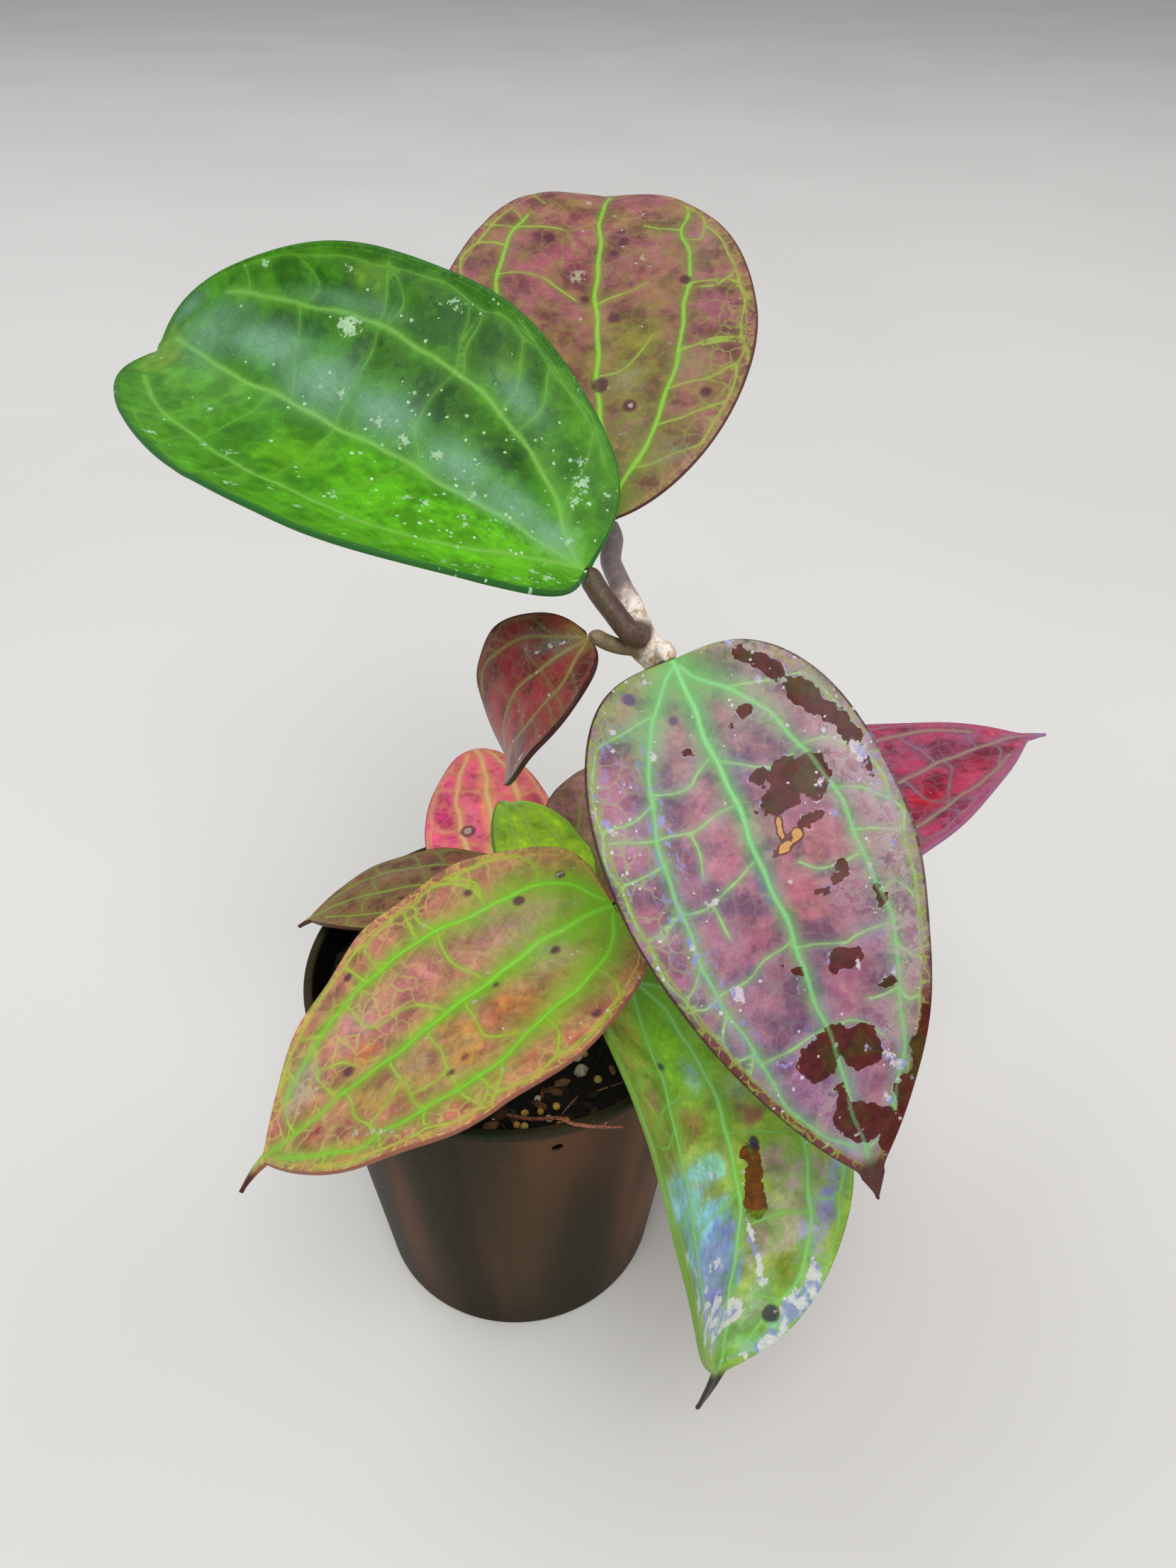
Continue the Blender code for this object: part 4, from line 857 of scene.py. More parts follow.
            [(0.04, 0.2), (0.18, 0.51), (0.42, 0.73), (0.57, 0.87), (0.7, 0.9)],
            [(0.04, -0.15), (0.18, -0.4), (0.3, -0.47), (0.51, -0.46), (0.72, -0.37)],
        ],
        cross=[
            [(0.28, -0.9), (0.28, -0.47), (0.30, 0.0)], [(0.30, 0.05), (0.30, 0.51)],
            [(0.54, 0.1), (0.6, 0.7)], [(0.5, 0.1), (0.5, -0.45)],
        ],
        loops=(5, 5), main_width=(0.36, 0.2), side_part=0.9, cross_width=0.12, cross_strength=0.75,
        halo_strength=0.3, heart=(150, 40, 52), heart_strength=0.35, vein=(156, 140, 84),
        cross_vein=(146, 116, 80), glow=(124, 104, 62), glow_reach=(2.4, 0.9), glow_strength=0.4,
        net=(146, 110, 84), net_scale=0.34, net_width=0.07, net_least=0.3, blotch=(74, 26, 34),
        blotch_strength=0.6, tint=(152, 64, 70), tint_strength=0.45, margin=(48, 22, 24), brink=0.5,
        margin_net=(140, 104, 84), margin_net_strength=0.3, rim_reach=1.6, tip=(96, 38, 38),
        wet_sheens=[(0.14, 0.22, 0.07, 0.24, 0.85), (0.24, 0.4, 0.07, 0.2, 0.6), (0.2, 0.6, 0.06, 0.16, 0.35)],
        wet_sheen=(128, 136, 132), ripple_highlight=(214, 210, 206),
        glints=[
            (0.12, 0.2, 0.5, 1.0, 0), (0.18, 0.3, 0.9, 0.5, 30), (0.25, 0.3, 0.5, 0.5, 0),
            (0.3, 0.44, 0.6, 0.7, 0), (0.08, 0.36, 0.4, 0.7, 0), (0.55, -0.86, 2.2, 0.3, 80),
        ],
        glitters=[(0.16, 0.3, 0.12, 0.4, 0.6), (0.66, -0.5, 0.1, 0.2, 0.3)], glint=(238, 238, 244),
        dust=0.15, rough=0.3, gloss=0.24, under=(140, 90, 80),
    ),
    "leaf_rear_left": Look(
        slot="leaf_brown", ground=(126, 86, 66), gain=(1.0, 0.88, 0.8),
        washes=[
            (0.1, 0.0, 0.14, 0.5, (112, 116, 50)), (0.6, 0.1, 0.2, 0.4, (128, 98, 60)),
            (0.45, 0.7, 0.3, 0.3, (134, 78, 66)), (0.8, 0.0, 0.1, 0.6, (122, 96, 58)),
        ],
        main=plain_veins(0.56), cross=plain_cross(0.56, 4), loops=(5, 5), main_width=(0.4, 0.25),
        cross_width=0.14, vein=(136, 164, 58), cross_vein=(132, 138, 60), glow=(118, 124, 52),
        glow_reach=(2.2, 1.2), net=(134, 122, 66), net_least=0.4, blotch=(100, 52, 48),
        blotch_strength=0.55, tint=(128, 108, 56), tint_strength=0.45, margin=(74, 42, 34), brink=0.4,
        margin_net=(146, 124, 76), margin_net_strength=0.5, rim_reach=1.8, tip=(84, 46, 40),
        spots=[(0.36, 0.4, 1.2), (0.5, -0.3, 0.8)], spot=(84, 36, 42), dust=0.1,
        wet_sheens=[(0.5, 0.5, 0.2, 0.3, 0.3)], wet_sheen=(150, 132, 112), under=(130, 100, 84),
    ),
    "leaf_rear_pink": Look(
        slot="leaf_pink", ground=(212, 88, 104), gain=(1.55, 1.16, 2.0),
        washes=[
            (0.5, -0.7, 0.4, 0.3, (204, 66, 104)), (0.55, 0.0, 0.3, 0.14, (244, 178, 96)),
            (0.3, 0.5, 0.3, 0.3, (222, 112, 96)), (0.85, 0.0, 0.1, 0.8, (222, 96, 90)),
            (0.3, -0.35, 0.2, 0.14, (214, 104, 126)), (0.2, -0.3, 0.1, 0.3, (180, 60, 92)),
            (0.15, 0.0, 0.12, 0.14, (246, 206, 110)),
        ],
        main=plain_veins(0.52), cross=plain_cross(0.52, 3), loops=(4, 4), main_width=(0.6, 0.3),
        vein_soft=0.9, cross_width=0.25, cross_strength=0.6, halo_strength=0.5, vein=(248, 204, 140),
        cross_vein=(240, 166, 130),
        glow=(238, 150, 104), glow_reach=(2.6, 1.7), glow_strength=0.7, net=(236, 158, 126),
        net_least=0.35, blotch=(196, 56, 92), blotch_strength=0.5, tint=(230, 122, 112),
        tint_strength=0.45, margin=(176, 78, 84), brink=0.4, margin_net=(238, 176, 140),
        margin_net_strength=0.5, rim_reach=1.8, tip=(170, 70, 70), spots=[(0.31, -0.35, 2.1)],
        spot=(112, 60, 66), eyes=[(0.31, -0.35, 1.25)], spot_heart=(196, 176, 158), dust=0.05,
        rough=0.44, under=(214, 150, 130),
    ),
    "leaf_rear_green": Look(
        slot="leaf_bright_green", ground=(122, 166, 42), gain=(2.1, 1.8, 1.05),
        washes=[(0.1, 0.0, 0.15, 0.5, (132, 176, 46)), (0.7, 0.0, 0.2, 0.5, (116, 158, 40))],
        main=plain_veins(0.48), cross=plain_cross(0.48, 3), loops=(4, 4), main_width=(0.36, 0.2),
        cross_width=0.13, vein=(158, 200, 86), cross_vein=(144, 188, 72), glow=(134, 180, 54),
        glow_reach=(1.6, 1.0), net=(146, 188, 66), net_least=0.3, blotch=(96, 146, 30),
        tint=(140, 182, 52), tint_strength=0.35, margin=(92, 132, 36), brink=0.4,
        margin_net=(150, 190, 76), rim_reach=1.8, tip=(112, 136, 56), dust=0.1, under=(130, 170, 80),
    ),
    "leaf_rear_maroon": Look(
        slot="leaf_maroon", ground=(128, 88, 78), gain=(1.9, 1.8, 2.4),
        washes=[(0.2, 0.0, 0.2, 0.5, (120, 112, 60)), (0.8, 0.0, 0.2, 0.6, (130, 84, 82))],
        main=plain_veins(0.52), cross=plain_cross(0.52, 4), loops=(5, 5), main_width=(0.4, 0.25),
        cross_width=0.15, vein=(150, 150, 84), cross_vein=(140, 124, 80), glow=(128, 110, 70),
        glow_reach=(2.0, 1.2), net=(148, 122, 84), net_least=0.35, blotch=(96, 50, 56),
        blotch_strength=0.5, tint=(130, 110, 66), tint_strength=0.4, margin=(76, 44, 44), brink=0.4,
        margin_net=(150, 120, 90), rim_reach=1.8, tip=(90, 54, 52), dust=0.1, under=(120, 90, 80),
    ),
}


def linear(colour):
    """A 0-255 screen colour as the linear colour that shaders use."""
    parts = [c / 255.0 for c in colour]
    return tuple(c / 12.92 if c <= 0.04045 else ((c + 0.055) / 1.055) ** 2.4 for c in parts)


class Graph:
    """Builds a material's nodes. A value given to a socket is a number, a colour or another output."""

    def __init__(self, name):
        self.material = bpy.data.materials.new(name)
        self.material.use_nodes = True
        self.tree = self.material.node_tree
        self.shader = self.tree.nodes["Principled BSDF"]

    def put(self, socket, value):
        if isinstance(value, bpy.types.NodeSocket):
            self.tree.links.new(value, socket)
        else:
            if isinstance(value, tuple) and len(value) == 3 and socket.type == "RGBA":
                value = (*value, 1.0)
            socket.default_value = value

    def node(self, kind, inputs=None, **settings):
        made = self.tree.nodes.new(kind)
        for key, value in settings.items():
            setattr(made, key, value)
        for key, value in (inputs or {}).items():
            self.put(made.inputs[key], value)
        return made

    def set(self, **values):
        for key, value in values.items():
            self.put(self.shader.inputs[key.replace("_", " ")], value)

    def read(self, name, output="Fac"):
        return self.node("ShaderNodeAttribute", attribute_name=name).outputs[output]

    def split(self, vector):
        return self.node("ShaderNodeSeparateXYZ", {"Vector": vector}).outputs

    def math(self, operation, a, b=0.0):
        return self.node("ShaderNodeMath", {0: a, 1: b}, operation=operation).outputs[0]

    def add(self, a, b):
        return self.math("ADD", a, b)

    def times(self, a, b):
        return self.math("MULTIPLY", a, b)

    def ramp(self, value, low, high, start=0.0, end=1.0):
        """Smoothly from start, where the value is low, to end, where it is high."""
        made = self.node(
            "ShaderNodeMapRange", {"Value": value, "From Min": low, "From Max": high,
                                   "To Min": start, "To Max": end},
            interpolation_type="SMOOTHSTEP",
        )
        return made.outputs["Result"]

    def mix(self, part, a, b):
        made = self.node("ShaderNodeMix", {0: part, 6: a, 7: b}, data_type="RGBA")
        return made.outputs[2]

    def lay(self, part, colour, tone):
        """The colour with a 0-255 tone laid over a part of it."""
        return self.mix(part, colour, linear(tone))

    def blend(self, part, a, b):
        """The number between a and b."""
        made = self.node("ShaderNodeMix", {0: part, 2: a, 3: b}, data_type="FLOAT")
        return made.outputs[0]

    def scaled(self, vector, scale):
        return self.node("ShaderNodeVectorMath", {0: vector, 3: scale}, operation="SCALE").outputs[0]

    def moved(self, vector, step):
        return self.node("ShaderNodeVectorMath", {0: vector, 1: step}, operation="ADD").outputs[0]

    def stretched(self, vector, factors):
        return self.node("ShaderNodeVectorMath", {0: vector, 1: factors}, operation="MULTIPLY").outputs[0]

    def object_place(self):
        """The place on the piece, in millimetres."""
        return self.scaled(self.node("ShaderNodeTexCoord").outputs["Object"], 1.0 / MM)

    def swing(self, value, reach):
        """A noise's value about zero, times reach."""
        return self.times(self.add(value, -0.5), reach)

    def noise(self, place, scale, detail=2.0, rough=0.5, output="Fac"):
        made = self.node(
            "ShaderNodeTexNoise",
            {"Vector": place, "Scale": scale, "Detail": detail, "Roughness": rough},
        )
        return made.outputs[output]

    def warped(self, place, scale, reach):
        """The place moved about by noise, by up to about half of reach."""
        colour = self.noise(place, scale, 2.0, 0.6, "Color")
        centred = self.moved(colour, (-0.5, -0.5, -0.5))
        return self.moved(self.scaled(centred, reach), place)

    def cells(self, place, scale, feature="F1", output="Distance"):
        made = self.node("ShaderNodeTexVoronoi", {"Vector": place, "Scale": scale}, feature=feature)
        return made.outputs[output]

    def bump(self, height, distance, strength=1.0):
        made = self.node(
            "ShaderNodeBump", {"Height": height, "Distance": distance, "Strength": strength}
        )
        self.set(Normal=made.outputs["Normal"])


def start_frame(leaf):
    """Rotation whose columns are along the midrib, to the blade's right, and up from it."""
    heading, pitch = math.radians(leaf.heading), math.radians(leaf.pitch)
    along = Vector(
        (math.cos(pitch) * math.sin(heading), math.cos(pitch) * math.cos(heading), math.sin(pitch))
    )
    right = Vector((math.cos(heading), -math.sin(heading), 0.0))
    right = Matrix.Rotation(math.radians(leaf.roll), 3, along) @ right
    return Matrix((along, right, right.cross(along))).transposed()


def midrib(leaf):
    """Places and frames at even steps from the blade's base to its tip, as arrays."""
    frame = start_frame(leaf)
    place = Vector(leaf.base)
    places, frames = [place.copy()], [frame.copy()]
    step = 1.0 / MIDRIB_STEPS
    for i in range(MIDRIB_STEPS):
        s = (i + 0.5) * step
        down = leaf.arch * step + leaf.droop * leaf.droop_power * s ** (leaf.droop_power - 1) * step
        if s > 1.0 - leaf.tail:
            down += leaf.hook * step / leaf.tail
        half = Matrix.Rotation(math.radians(-down / 2), 3, frame.col[1])
        place = place + (half @ frame.col[0]) * leaf.length * step
        frame = Matrix.Rotation(math.radians(-down), 3, frame.col[1]) @ frame
        frame = Matrix.Rotation(math.radians(leaf.sweep * step), 3, frame.col[2]) @ frame
        frame = Matrix.Rotation(math.radians(leaf.twist * step), 3, frame.col[0]) @ frame
        places.append(place.copy())
        frames.append(frame.copy())
    return np.array(places), np.array([[list(row) for row in frame] for frame in frames])


def half_width(leaf, s):
    """The blade's half width at each s, with its drip tip."""
    q = np.clip(s / (1.0 - leaf.tail), 1e-6, 1.0)
    rise = (q / leaf.peak) ** leaf.peak
    fall = (np.maximum(1.0 - q, 0.0) / (1.0 - leaf.peak)) ** (1.0 - leaf.peak)
    body = (rise * fall) ** leaf.full * (1.0 - leaf.point * q**16)
    spike = leaf.spout * np.clip((1.0 - s) / leaf.tail, 0.0, 1.0) * np.minimum(q / 0.9, 1.0) ** 8
    least = np.where(s < 0.5, BASE_HALF_WIDTH, TIP_HALF_WIDTH)
    return np.maximum(leaf.width / 2 * np.cbrt(body**3 + spike**3), least)


def lobe_back(leaf, s, t):
    """How far the lobes beside the base reach back."""
    return leaf.lobe * leaf.length * np.abs(t) ** 1.5 * (s / 0.07) * np.exp(1.0 - s / 0.07)


def flat_place(leaf, s, t):
    """The place on the blade laid flat, in millimetres: across and along."""
    s, t = np.asarray(s, float), np.asarray(t, float)
    return np.stack([t * half_width(leaf, s), s * leaf.length - lobe_back(leaf, s, t)], axis=-1)


def blade_sheet(leaf, s, t):
    """The blade's upper face without relief: cupped, folded and waved as the CAD blade is."""
    places, frames = midrib(leaf)
    at = s * MIDRIB_STEPS
    i = np.minimum(at.astype(int), MIDRIB_STEPS - 1)
    part = (at - i)[..., None]
    place = places[i] * (1 - part) + places[i + 1] * part
    frame = frames[i] * (1 - part[..., None]) + frames[i + 1] * part[..., None]
    wide = half_width(leaf, s)
    cup = np.radians(np.where(t >= 0, leaf.cup_right, leaf.cup_left))
    cup = np.where(np.abs(cup) > 0.001, cup, 0.001)
    side = np.abs(t)
    out, rise = np.sin(cup * side) / cup, (1.0 - np.cos(cup * side)) / cup
    fold = math.radians(leaf.fold)
    across = (out * math.cos(fold) - rise * math.sin(fold)) * np.sign(t) * wide
    above = (out * math.sin(fold) + rise * math.cos(fold)) * wide
    size = wide / (leaf.width / 2)
    edge = np.maximum(0.0, (side - 0.5) / 0.5) ** 2
    sign = np.where(t >= 0, 1.0, -1.0)
    wave = leaf.wave * edge * size * np.sin(2 * math.pi * leaf.waves * s + 1.6 * sign)
    turned = leaf.turn_right * np.maximum(0.0, (side - 0.7) / 0.3) ** 2
    turned = turned * np.sin(math.pi * np.clip((s - 0.2) / 0.8, 0.0, 1.0)) * (t > 0)
    lift = above + wave - turned
    back = lobe_back(leaf, s, t)
    return (
        place - frame[..., :, 0] * back[..., None] + frame[..., :, 1] * across[..., None]
        + frame[..., :, 2] * lift[..., None]
    )


def curve_through(points, steps):
    """Places on a smooth curve through the points, with steps of them to each span."""
    p = np.array(points, float)
    p = np.vstack([2 * p[0] - p[1], p, 2 * p[-1] - p[-2]])
    u = np.arange(steps)[:, None] / steps
    spans = []
    for i in range(1, len(p) - 2):
        before, start, end, after = p[i - 1], p[i], p[i + 1], p[i + 2]
        spans.append(0.5 * (
            2 * start + (end - before) * u + (2 * before - 5 * start + 4 * end - after) * u**2
            + (3 * start - before - 3 * end + after) * u**3
        ))
    return np.vstack(spans + [p[-2][None]])


def outer_veins(look, side, count):
    """Veins from the side vein to the margin, with the arches that join them there."""
    draw = random.Random(count * 7 + side)
    line = curve_through(look.main[1 if side > 0 else 2], 6)
    lines, feet = [], []
    for i in range(count):
        s = 0.07 + 0.76 * (i + draw.uniform(0.2, 0.8)) / count
        start = line[np.argmin(np.abs(line[:, 0] - s))]
        reach = abs(start[1])
        end = (start[0] + draw.uniform(0.01, 0.05), draw.uniform(0.88, 0.93))
        middle = (start[0] + draw.uniform(-0.01, 0.03), (reach + end[1]) / 2)
        lines.append([tuple(start), (middle[0], side * middle[1]), (end[0], side * end[1])])
        feet.append(end)
    for near, far in zip(feet, feet[1:]):
        bow = ((near[0] + far[0]) / 2, min(max(near[1], far[1]) + draw.uniform(0.01, 0.04), 0.965))
        lines.append([(s, side * t) for s, t in (near, bow, far)])
    return lines


def line_fields(leaf, flat, lines, widths):
    """Each place's gap to the nearest line's edge, its offset from that line's middle, and the half width."""
    nearest, offset, half = (np.full(len(flat), 99.0) for _ in range(3))
    for points in lines:
        smooth = curve_through(points, 5)
        corners = flat_place(leaf, np.clip(smooth[:, 0], 0.0, 1.0), smooth[:, 1])
        for a, b, s in zip(corners[:-1], corners[1:], smooth[:, 0]):
            width = widths[0] + (widths[1] - widths[0]) * min(max(s, 0.0), 1.0)
            run = b - a
            long = max(float(run @ run), 1e-9)
            u = np.clip((flat - a) @ run / long, 0.0, 1.0)
            away = flat - a - u[:, None] * run
            gap = np.hypot(*away.T)
            near = gap - width < nearest
            side = np.where(run[0] * away[near, 1] >= run[1] * away[near, 0], 1.0, -1.0)
            nearest[near] = gap[near] - width
            offset[near] = gap[near] * side
            half[near] = width
    return nearest, offset, half


def nearer_of(one, other):
    """The fields of two sets of lines, joined by which set is nearer."""
    return tuple(np.where(other[0] < one[0], b, a) for a, b in zip(one, other))


def wandering(flat, reach, span):
    """The flat places moved a little by slow waves, so that lines drawn there wander."""
    x, y = flat[:, 0] / span, flat[:, 1] / span
    dx = np.sin(1.7 * y + 0.6 * x) + 0.6 * np.sin(3.9 * y - 1.3 * x + 1.0)
    dy = np.sin(1.9 * x - 0.5 * y + 2.0) + 0.6 * np.sin(4.3 * x + 1.1 * y)
    return flat + reach * 0.6 * np.stack([dx, dy], axis=-1)


def blob_field(leaf, flat, blobs):
    """Signed distance into the nearest blob, positive inside."""
    inside = np.full(len(flat), -9.0)
    for s, t, wide, long, turn in blobs:
        centre = flat_place(leaf, s, t)
        angle = math.radians(turn)
        dx, dy = (flat - centre).T
        across = dx * math.cos(angle) + dy * math.sin(angle)
        along = dy * math.cos(angle) - dx * math.sin(angle)
        reach = np.sqrt((along / long) ** 2 + (across / wide) ** 2)
        inside = np.maximum(inside, (1.0 - reach) * min(long, wide))
    return inside


def disc_field(leaf, flat, discs):
    return blob_field(leaf, flat, [(s, t, r, r, 0.0) for s, t, r in discs])


def uneven(flat, span):
    """Random waves of about that span over the flat blade, with a spread of about 1."""
    draw = random.Random(int(span * 10))
    total = np.zeros(len(flat))
    for _ in range(16):
        angle, start = draw.uniform(0, 2 * math.pi), draw.uniform(0, 2 * math.pi)
        wave = 2 * math.pi / (span * draw.uniform(0.5, 1.6))
        total += np.sin(wave * (flat[:, 0] * math.cos(angle) + flat[:, 1] * math.sin(angle)) + start)
    return total / math.sqrt(8.0)


def washed(look, flat, s, t):
    """The blade's ground colour with its washes laid over it, soft or with ragged crisp outlines."""
    colour = np.tile(np.array(linear(look.ground)), (len(s), 1))
    ragged = 0.24 * uneven(flat, 6.0) + 0.14 * uneven(flat, 2.4)
    for at_s, at_t, reach_s, reach_t, tone in look.washes:
        reach = ((s - at_s) / reach_s) ** 2 + ((t - at_t) / reach_t) ** 2
        soft = np.exp(-reach)
        crisp = 0.85 / (1.0 + np.exp(np.minimum((reach + ragged - 0.85) * 7.0, 40.0)))
        weight = soft + (crisp - soft) * look.wash_edge
        colour += (np.array(linear(tone)) - colour) * weight[:, None]
    # A large gain paints in light on blades that the lamps leave dim
    return colour * np.array(look.gain)


def area_field(areas, s, t, least=0.0):
    """The strength of the strongest area at each place, not under least."""
    strongest = np.full(len(s), least)
    for at_s, at_t, reach_s, reach_t, strength in areas:
        weight = np.exp(-(((s - at_s) / reach_s) ** 2) - ((t - at_t) / reach_t) ** 2)
        strongest = np.maximum(strongest, strength * weight)
    return strongest


def grid_places(leaf, spacing):
    """s and t of the blade's grid of points, denser at the base, the tip and the margins."""
    rows = int(leaf.length / spacing)
    inner = int(leaf.width / spacing)
    u = np.linspace(0.0, 1.0, rows)
    s = u - 0.12 * np.sin(2 * math.pi * u)
    wide = half_width(leaf, s)
    outer = np.array(EDGE_COLUMNS)[None] * np.minimum(1.0, wide / 4.0)[:, None]
    right = 1.0 - outer / wide[:, None]
    middle = right[:, -1:] * np.linspace(-1.0, 1.0, inner)[None, 1:-1]
    t = np.hstack([-right, middle, right[:, ::-1]])
    return np.repeat(s[:, None], t.shape[1], axis=1), t


def unit(vectors):
    return vectors / np.maximum(np.linalg.norm(vectors, axis=-1, keepdims=True), 1e-9)


def sheet_faces(rows, columns):
    """Quads of the upper face, the lower face and the rim between them."""
    index = np.arange(rows * columns).reshape(rows, columns)
    a, b, c, d = index[:-1, :-1], index[:-1, 1:], index[1:, 1:], index[1:, :-1]
    upper = np.stack([a, b, c, d], axis=-1).reshape(-1, 4)
    lower = upper[:, ::-1] + rows * columns
    loop = np.concatenate([index[0], index[1:, -1], index[-1, -2::-1], index[-2:0:-1, 0]])
    after = np.roll(loop, -1)
    rim = np.stack([after, loop, loop + rows * columns, after + rows * columns], axis=-1)
    return upper, lower, rim


def set_point_data(mesh, name, kind, values):
    layer = mesh.attributes.new(name, kind, "POINT")
    key = {"FLOAT": "value", "FLOAT_VECTOR": "vector", "FLOAT_COLOR": "color"}[kind]
    layer.data.foreach_set(key, np.ascontiguousarray(values, dtype=np.float32).ravel())


def mesh_from_arrays(name, points, faces):
    mesh = bpy.data.meshes.new(name)
    mesh.from_pydata((points * MM).tolist(), [], faces.tolist())
    mesh.shade_smooth()
    return mesh


def add_piece(name, mesh, materials, node):
    mesh.materials.clear()
    for made in materials:
        mesh.materials.append(made)
    piece = bpy.data.objects.new(name, mesh)
    bpy.context.scene.collection.objects.link(piece)
    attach(piece, "root")
    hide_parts(node)


def vein_fields(leaf, look, flat):
    """Each place's gaps to the main, cross and outer veins, and its offsets from the nearest ones."""
    drawn = wandering(flat, 0.55, 7.0)
    loops = outer_veins(look, 1, look.loops[0]) + outer_veins(look, -1, look.loops[1])
    side_width = tuple(w * look.side_part for w in look.main_width)
    midribs = line_fields(leaf, drawn, look.main[:1], look.main_width)
    sides = line_fields(leaf, drawn, look.main[1:], side_width)
    crosses = line_fields(leaf, drawn, look.cross, (look.cross_width,) * 2)
    outers = line_fields(leaf, drawn, loops, (look.cross_width * 0.7,) * 2)
    main, main_at, main_half = nearer_of(midribs, sides)
    finer, finer_at, _ = nearer_of(crosses, outers)
    return SimpleNamespace(
        main=main, main_at=main_at, main_half=main_half, cross=crosses[0], outer=outers[0],
        finer=finer, finer_at=finer_at,
    )


def glow_field(look, s, main):
    """Strength of the soft glow along the main veins, widest and strongest at the blade's base."""
    faded = np.clip(s / look.glow_run, 0.0, 1.0) ** 0.7
    reach = look.glow_reach[0] + (look.glow_reach[1] - look.glow_reach[0]) * faded
    strength = BASE_GLOW + (look.glow_strength - BASE_GLOW) * faded
    return np.exp(-((np.maximum(main, 0.0) / reach) ** 2)) * strength


def blade_skins(leaf, at, sheet, up, veins):
    """Points of the upper and lower faces: raised between the veins, thin and rounded at the margin."""
    size = half_width(leaf, at.s) / (leaf.width / 2)
    gap = np.minimum(np.minimum(veins.main, veins.cross + 0.3), veins.outer + 0.8)
    hill = 0.5 * size * (1.0 - np.exp(-((np.maximum(gap + 0.5, 0.0) / 4.0) ** 2)))
    groove = size * (0.16 / (1.0 + np.exp(veins.main / 0.25)) + 0.07 / (1.0 + np.exp(veins.cross / 0.25)))
    rib = 0.2 * size / (1.0 + np.exp(veins.main / 0.3))
    keel = np.exp(-((at.t / 0.16) ** 2)) * np.maximum(0.0, 1.0 - at.s) ** 1.5
    inward = np.clip(at.edge / ROUND_EDGE, 0.0, 1.0)
    rounded = np.sqrt(np.clip(1.0 - (1.0 - inward) ** 2, 0.0, 1.0))
    thick = (BLADE + (KEEL - BLADE) * keel) * (0.25 + 0.75 * rounded)
    sink = EDGE_SINK * (1.0 - rounded)
    upper = sheet + up * (hill - groove - sink)[:, None]
    lower = sheet + up * (0.5 * hill - sink - thick - rib)[:, None]
    return upper, lower


def store_fields(mesh, leaf, look, at, veins):
    """Stores at each point what the materials read, the same on both faces."""
    s, t, flat = at.s, at.t, at.flat
    stored = {
        "plan": [flat, np.zeros(len(s))],
        "veins": [np.minimum(veins.main, FAR), np.minimum(veins.finer, FAR), glow_field(look, s, veins.main)],
        "lines": [np.clip(veins.main_at, -FAR, FAR), np.clip(veins.finer_at, -FAR, FAR), veins.main_half],
        "marks": [
            blob_field(leaf, flat, look.pools), disc_field(leaf, flat, look.spots),
            disc_field(leaf, flat, look.flecks),
        ],
        "shine": [
            blob_field(leaf, flat, look.glints), blob_field(leaf, flat, look.scars),
            disc_field(leaf, flat, look.eyes),
        ],
        "lie": [np.minimum(at.edge, FAR), s, area_field(look.wet_sheens, s, t)],
        "areas": [
            area_field(look.nets, s, t, look.net_least), area_field(look.streaks, s, t),
            area_field(look.glitters, s, t),
        ],
    }
    for name, fields in stored.items():
        values = np.column_stack(fields)
        set_point_data(mesh, name, "FLOAT_VECTOR", np.vstack([values, values]))
    colour = np.column_stack([washed(look, flat, s, t), np.ones(len(s))])
    set_point_data(mesh, "wash", "FLOAT_COLOR", np.vstack([colour, colour]))


def make_leaf(node, leaf, look):
    s, t = grid_places(leaf, BIG_GRID if leaf.length > BIG_LEAF else SMALL_GRID)
    sheet = blade_sheet(leaf, s, t)
    up = unit(np.cross(np.gradient(sheet, axis=1), np.gradient(sheet, axis=0)))
    upper, lower, rim = sheet_faces(*s.shape)
    s, t = s.ravel(), t.ravel()
    edge = (1.0 - np.abs(t)) * half_width(leaf, s)
    at = SimpleNamespace(s=s, t=t, flat=flat_place(leaf, s, t), edge=edge)
    veins = vein_fields(leaf, look, at.flat)
    skins = blade_skins(leaf, at, sheet.reshape(-1, 3), up.reshape(-1, 3), veins)
    mesh = mesh_from_arrays(node + "_fine", np.vstack(skins), np.vstack([upper, lower, rim]))
    kinds = np.repeat([0, 1, 0], [len(upper), len(lower), len(rim)])
    mesh.polygons.foreach_set("material_index", kinds.astype(np.int32))
    store_fields(mesh, leaf, look, at, veins)
    finish = [leaf_face(node + "_face", look), leaf_back(node + "_back", look)]
    add_piece(node + "_fine", mesh, finish, node)


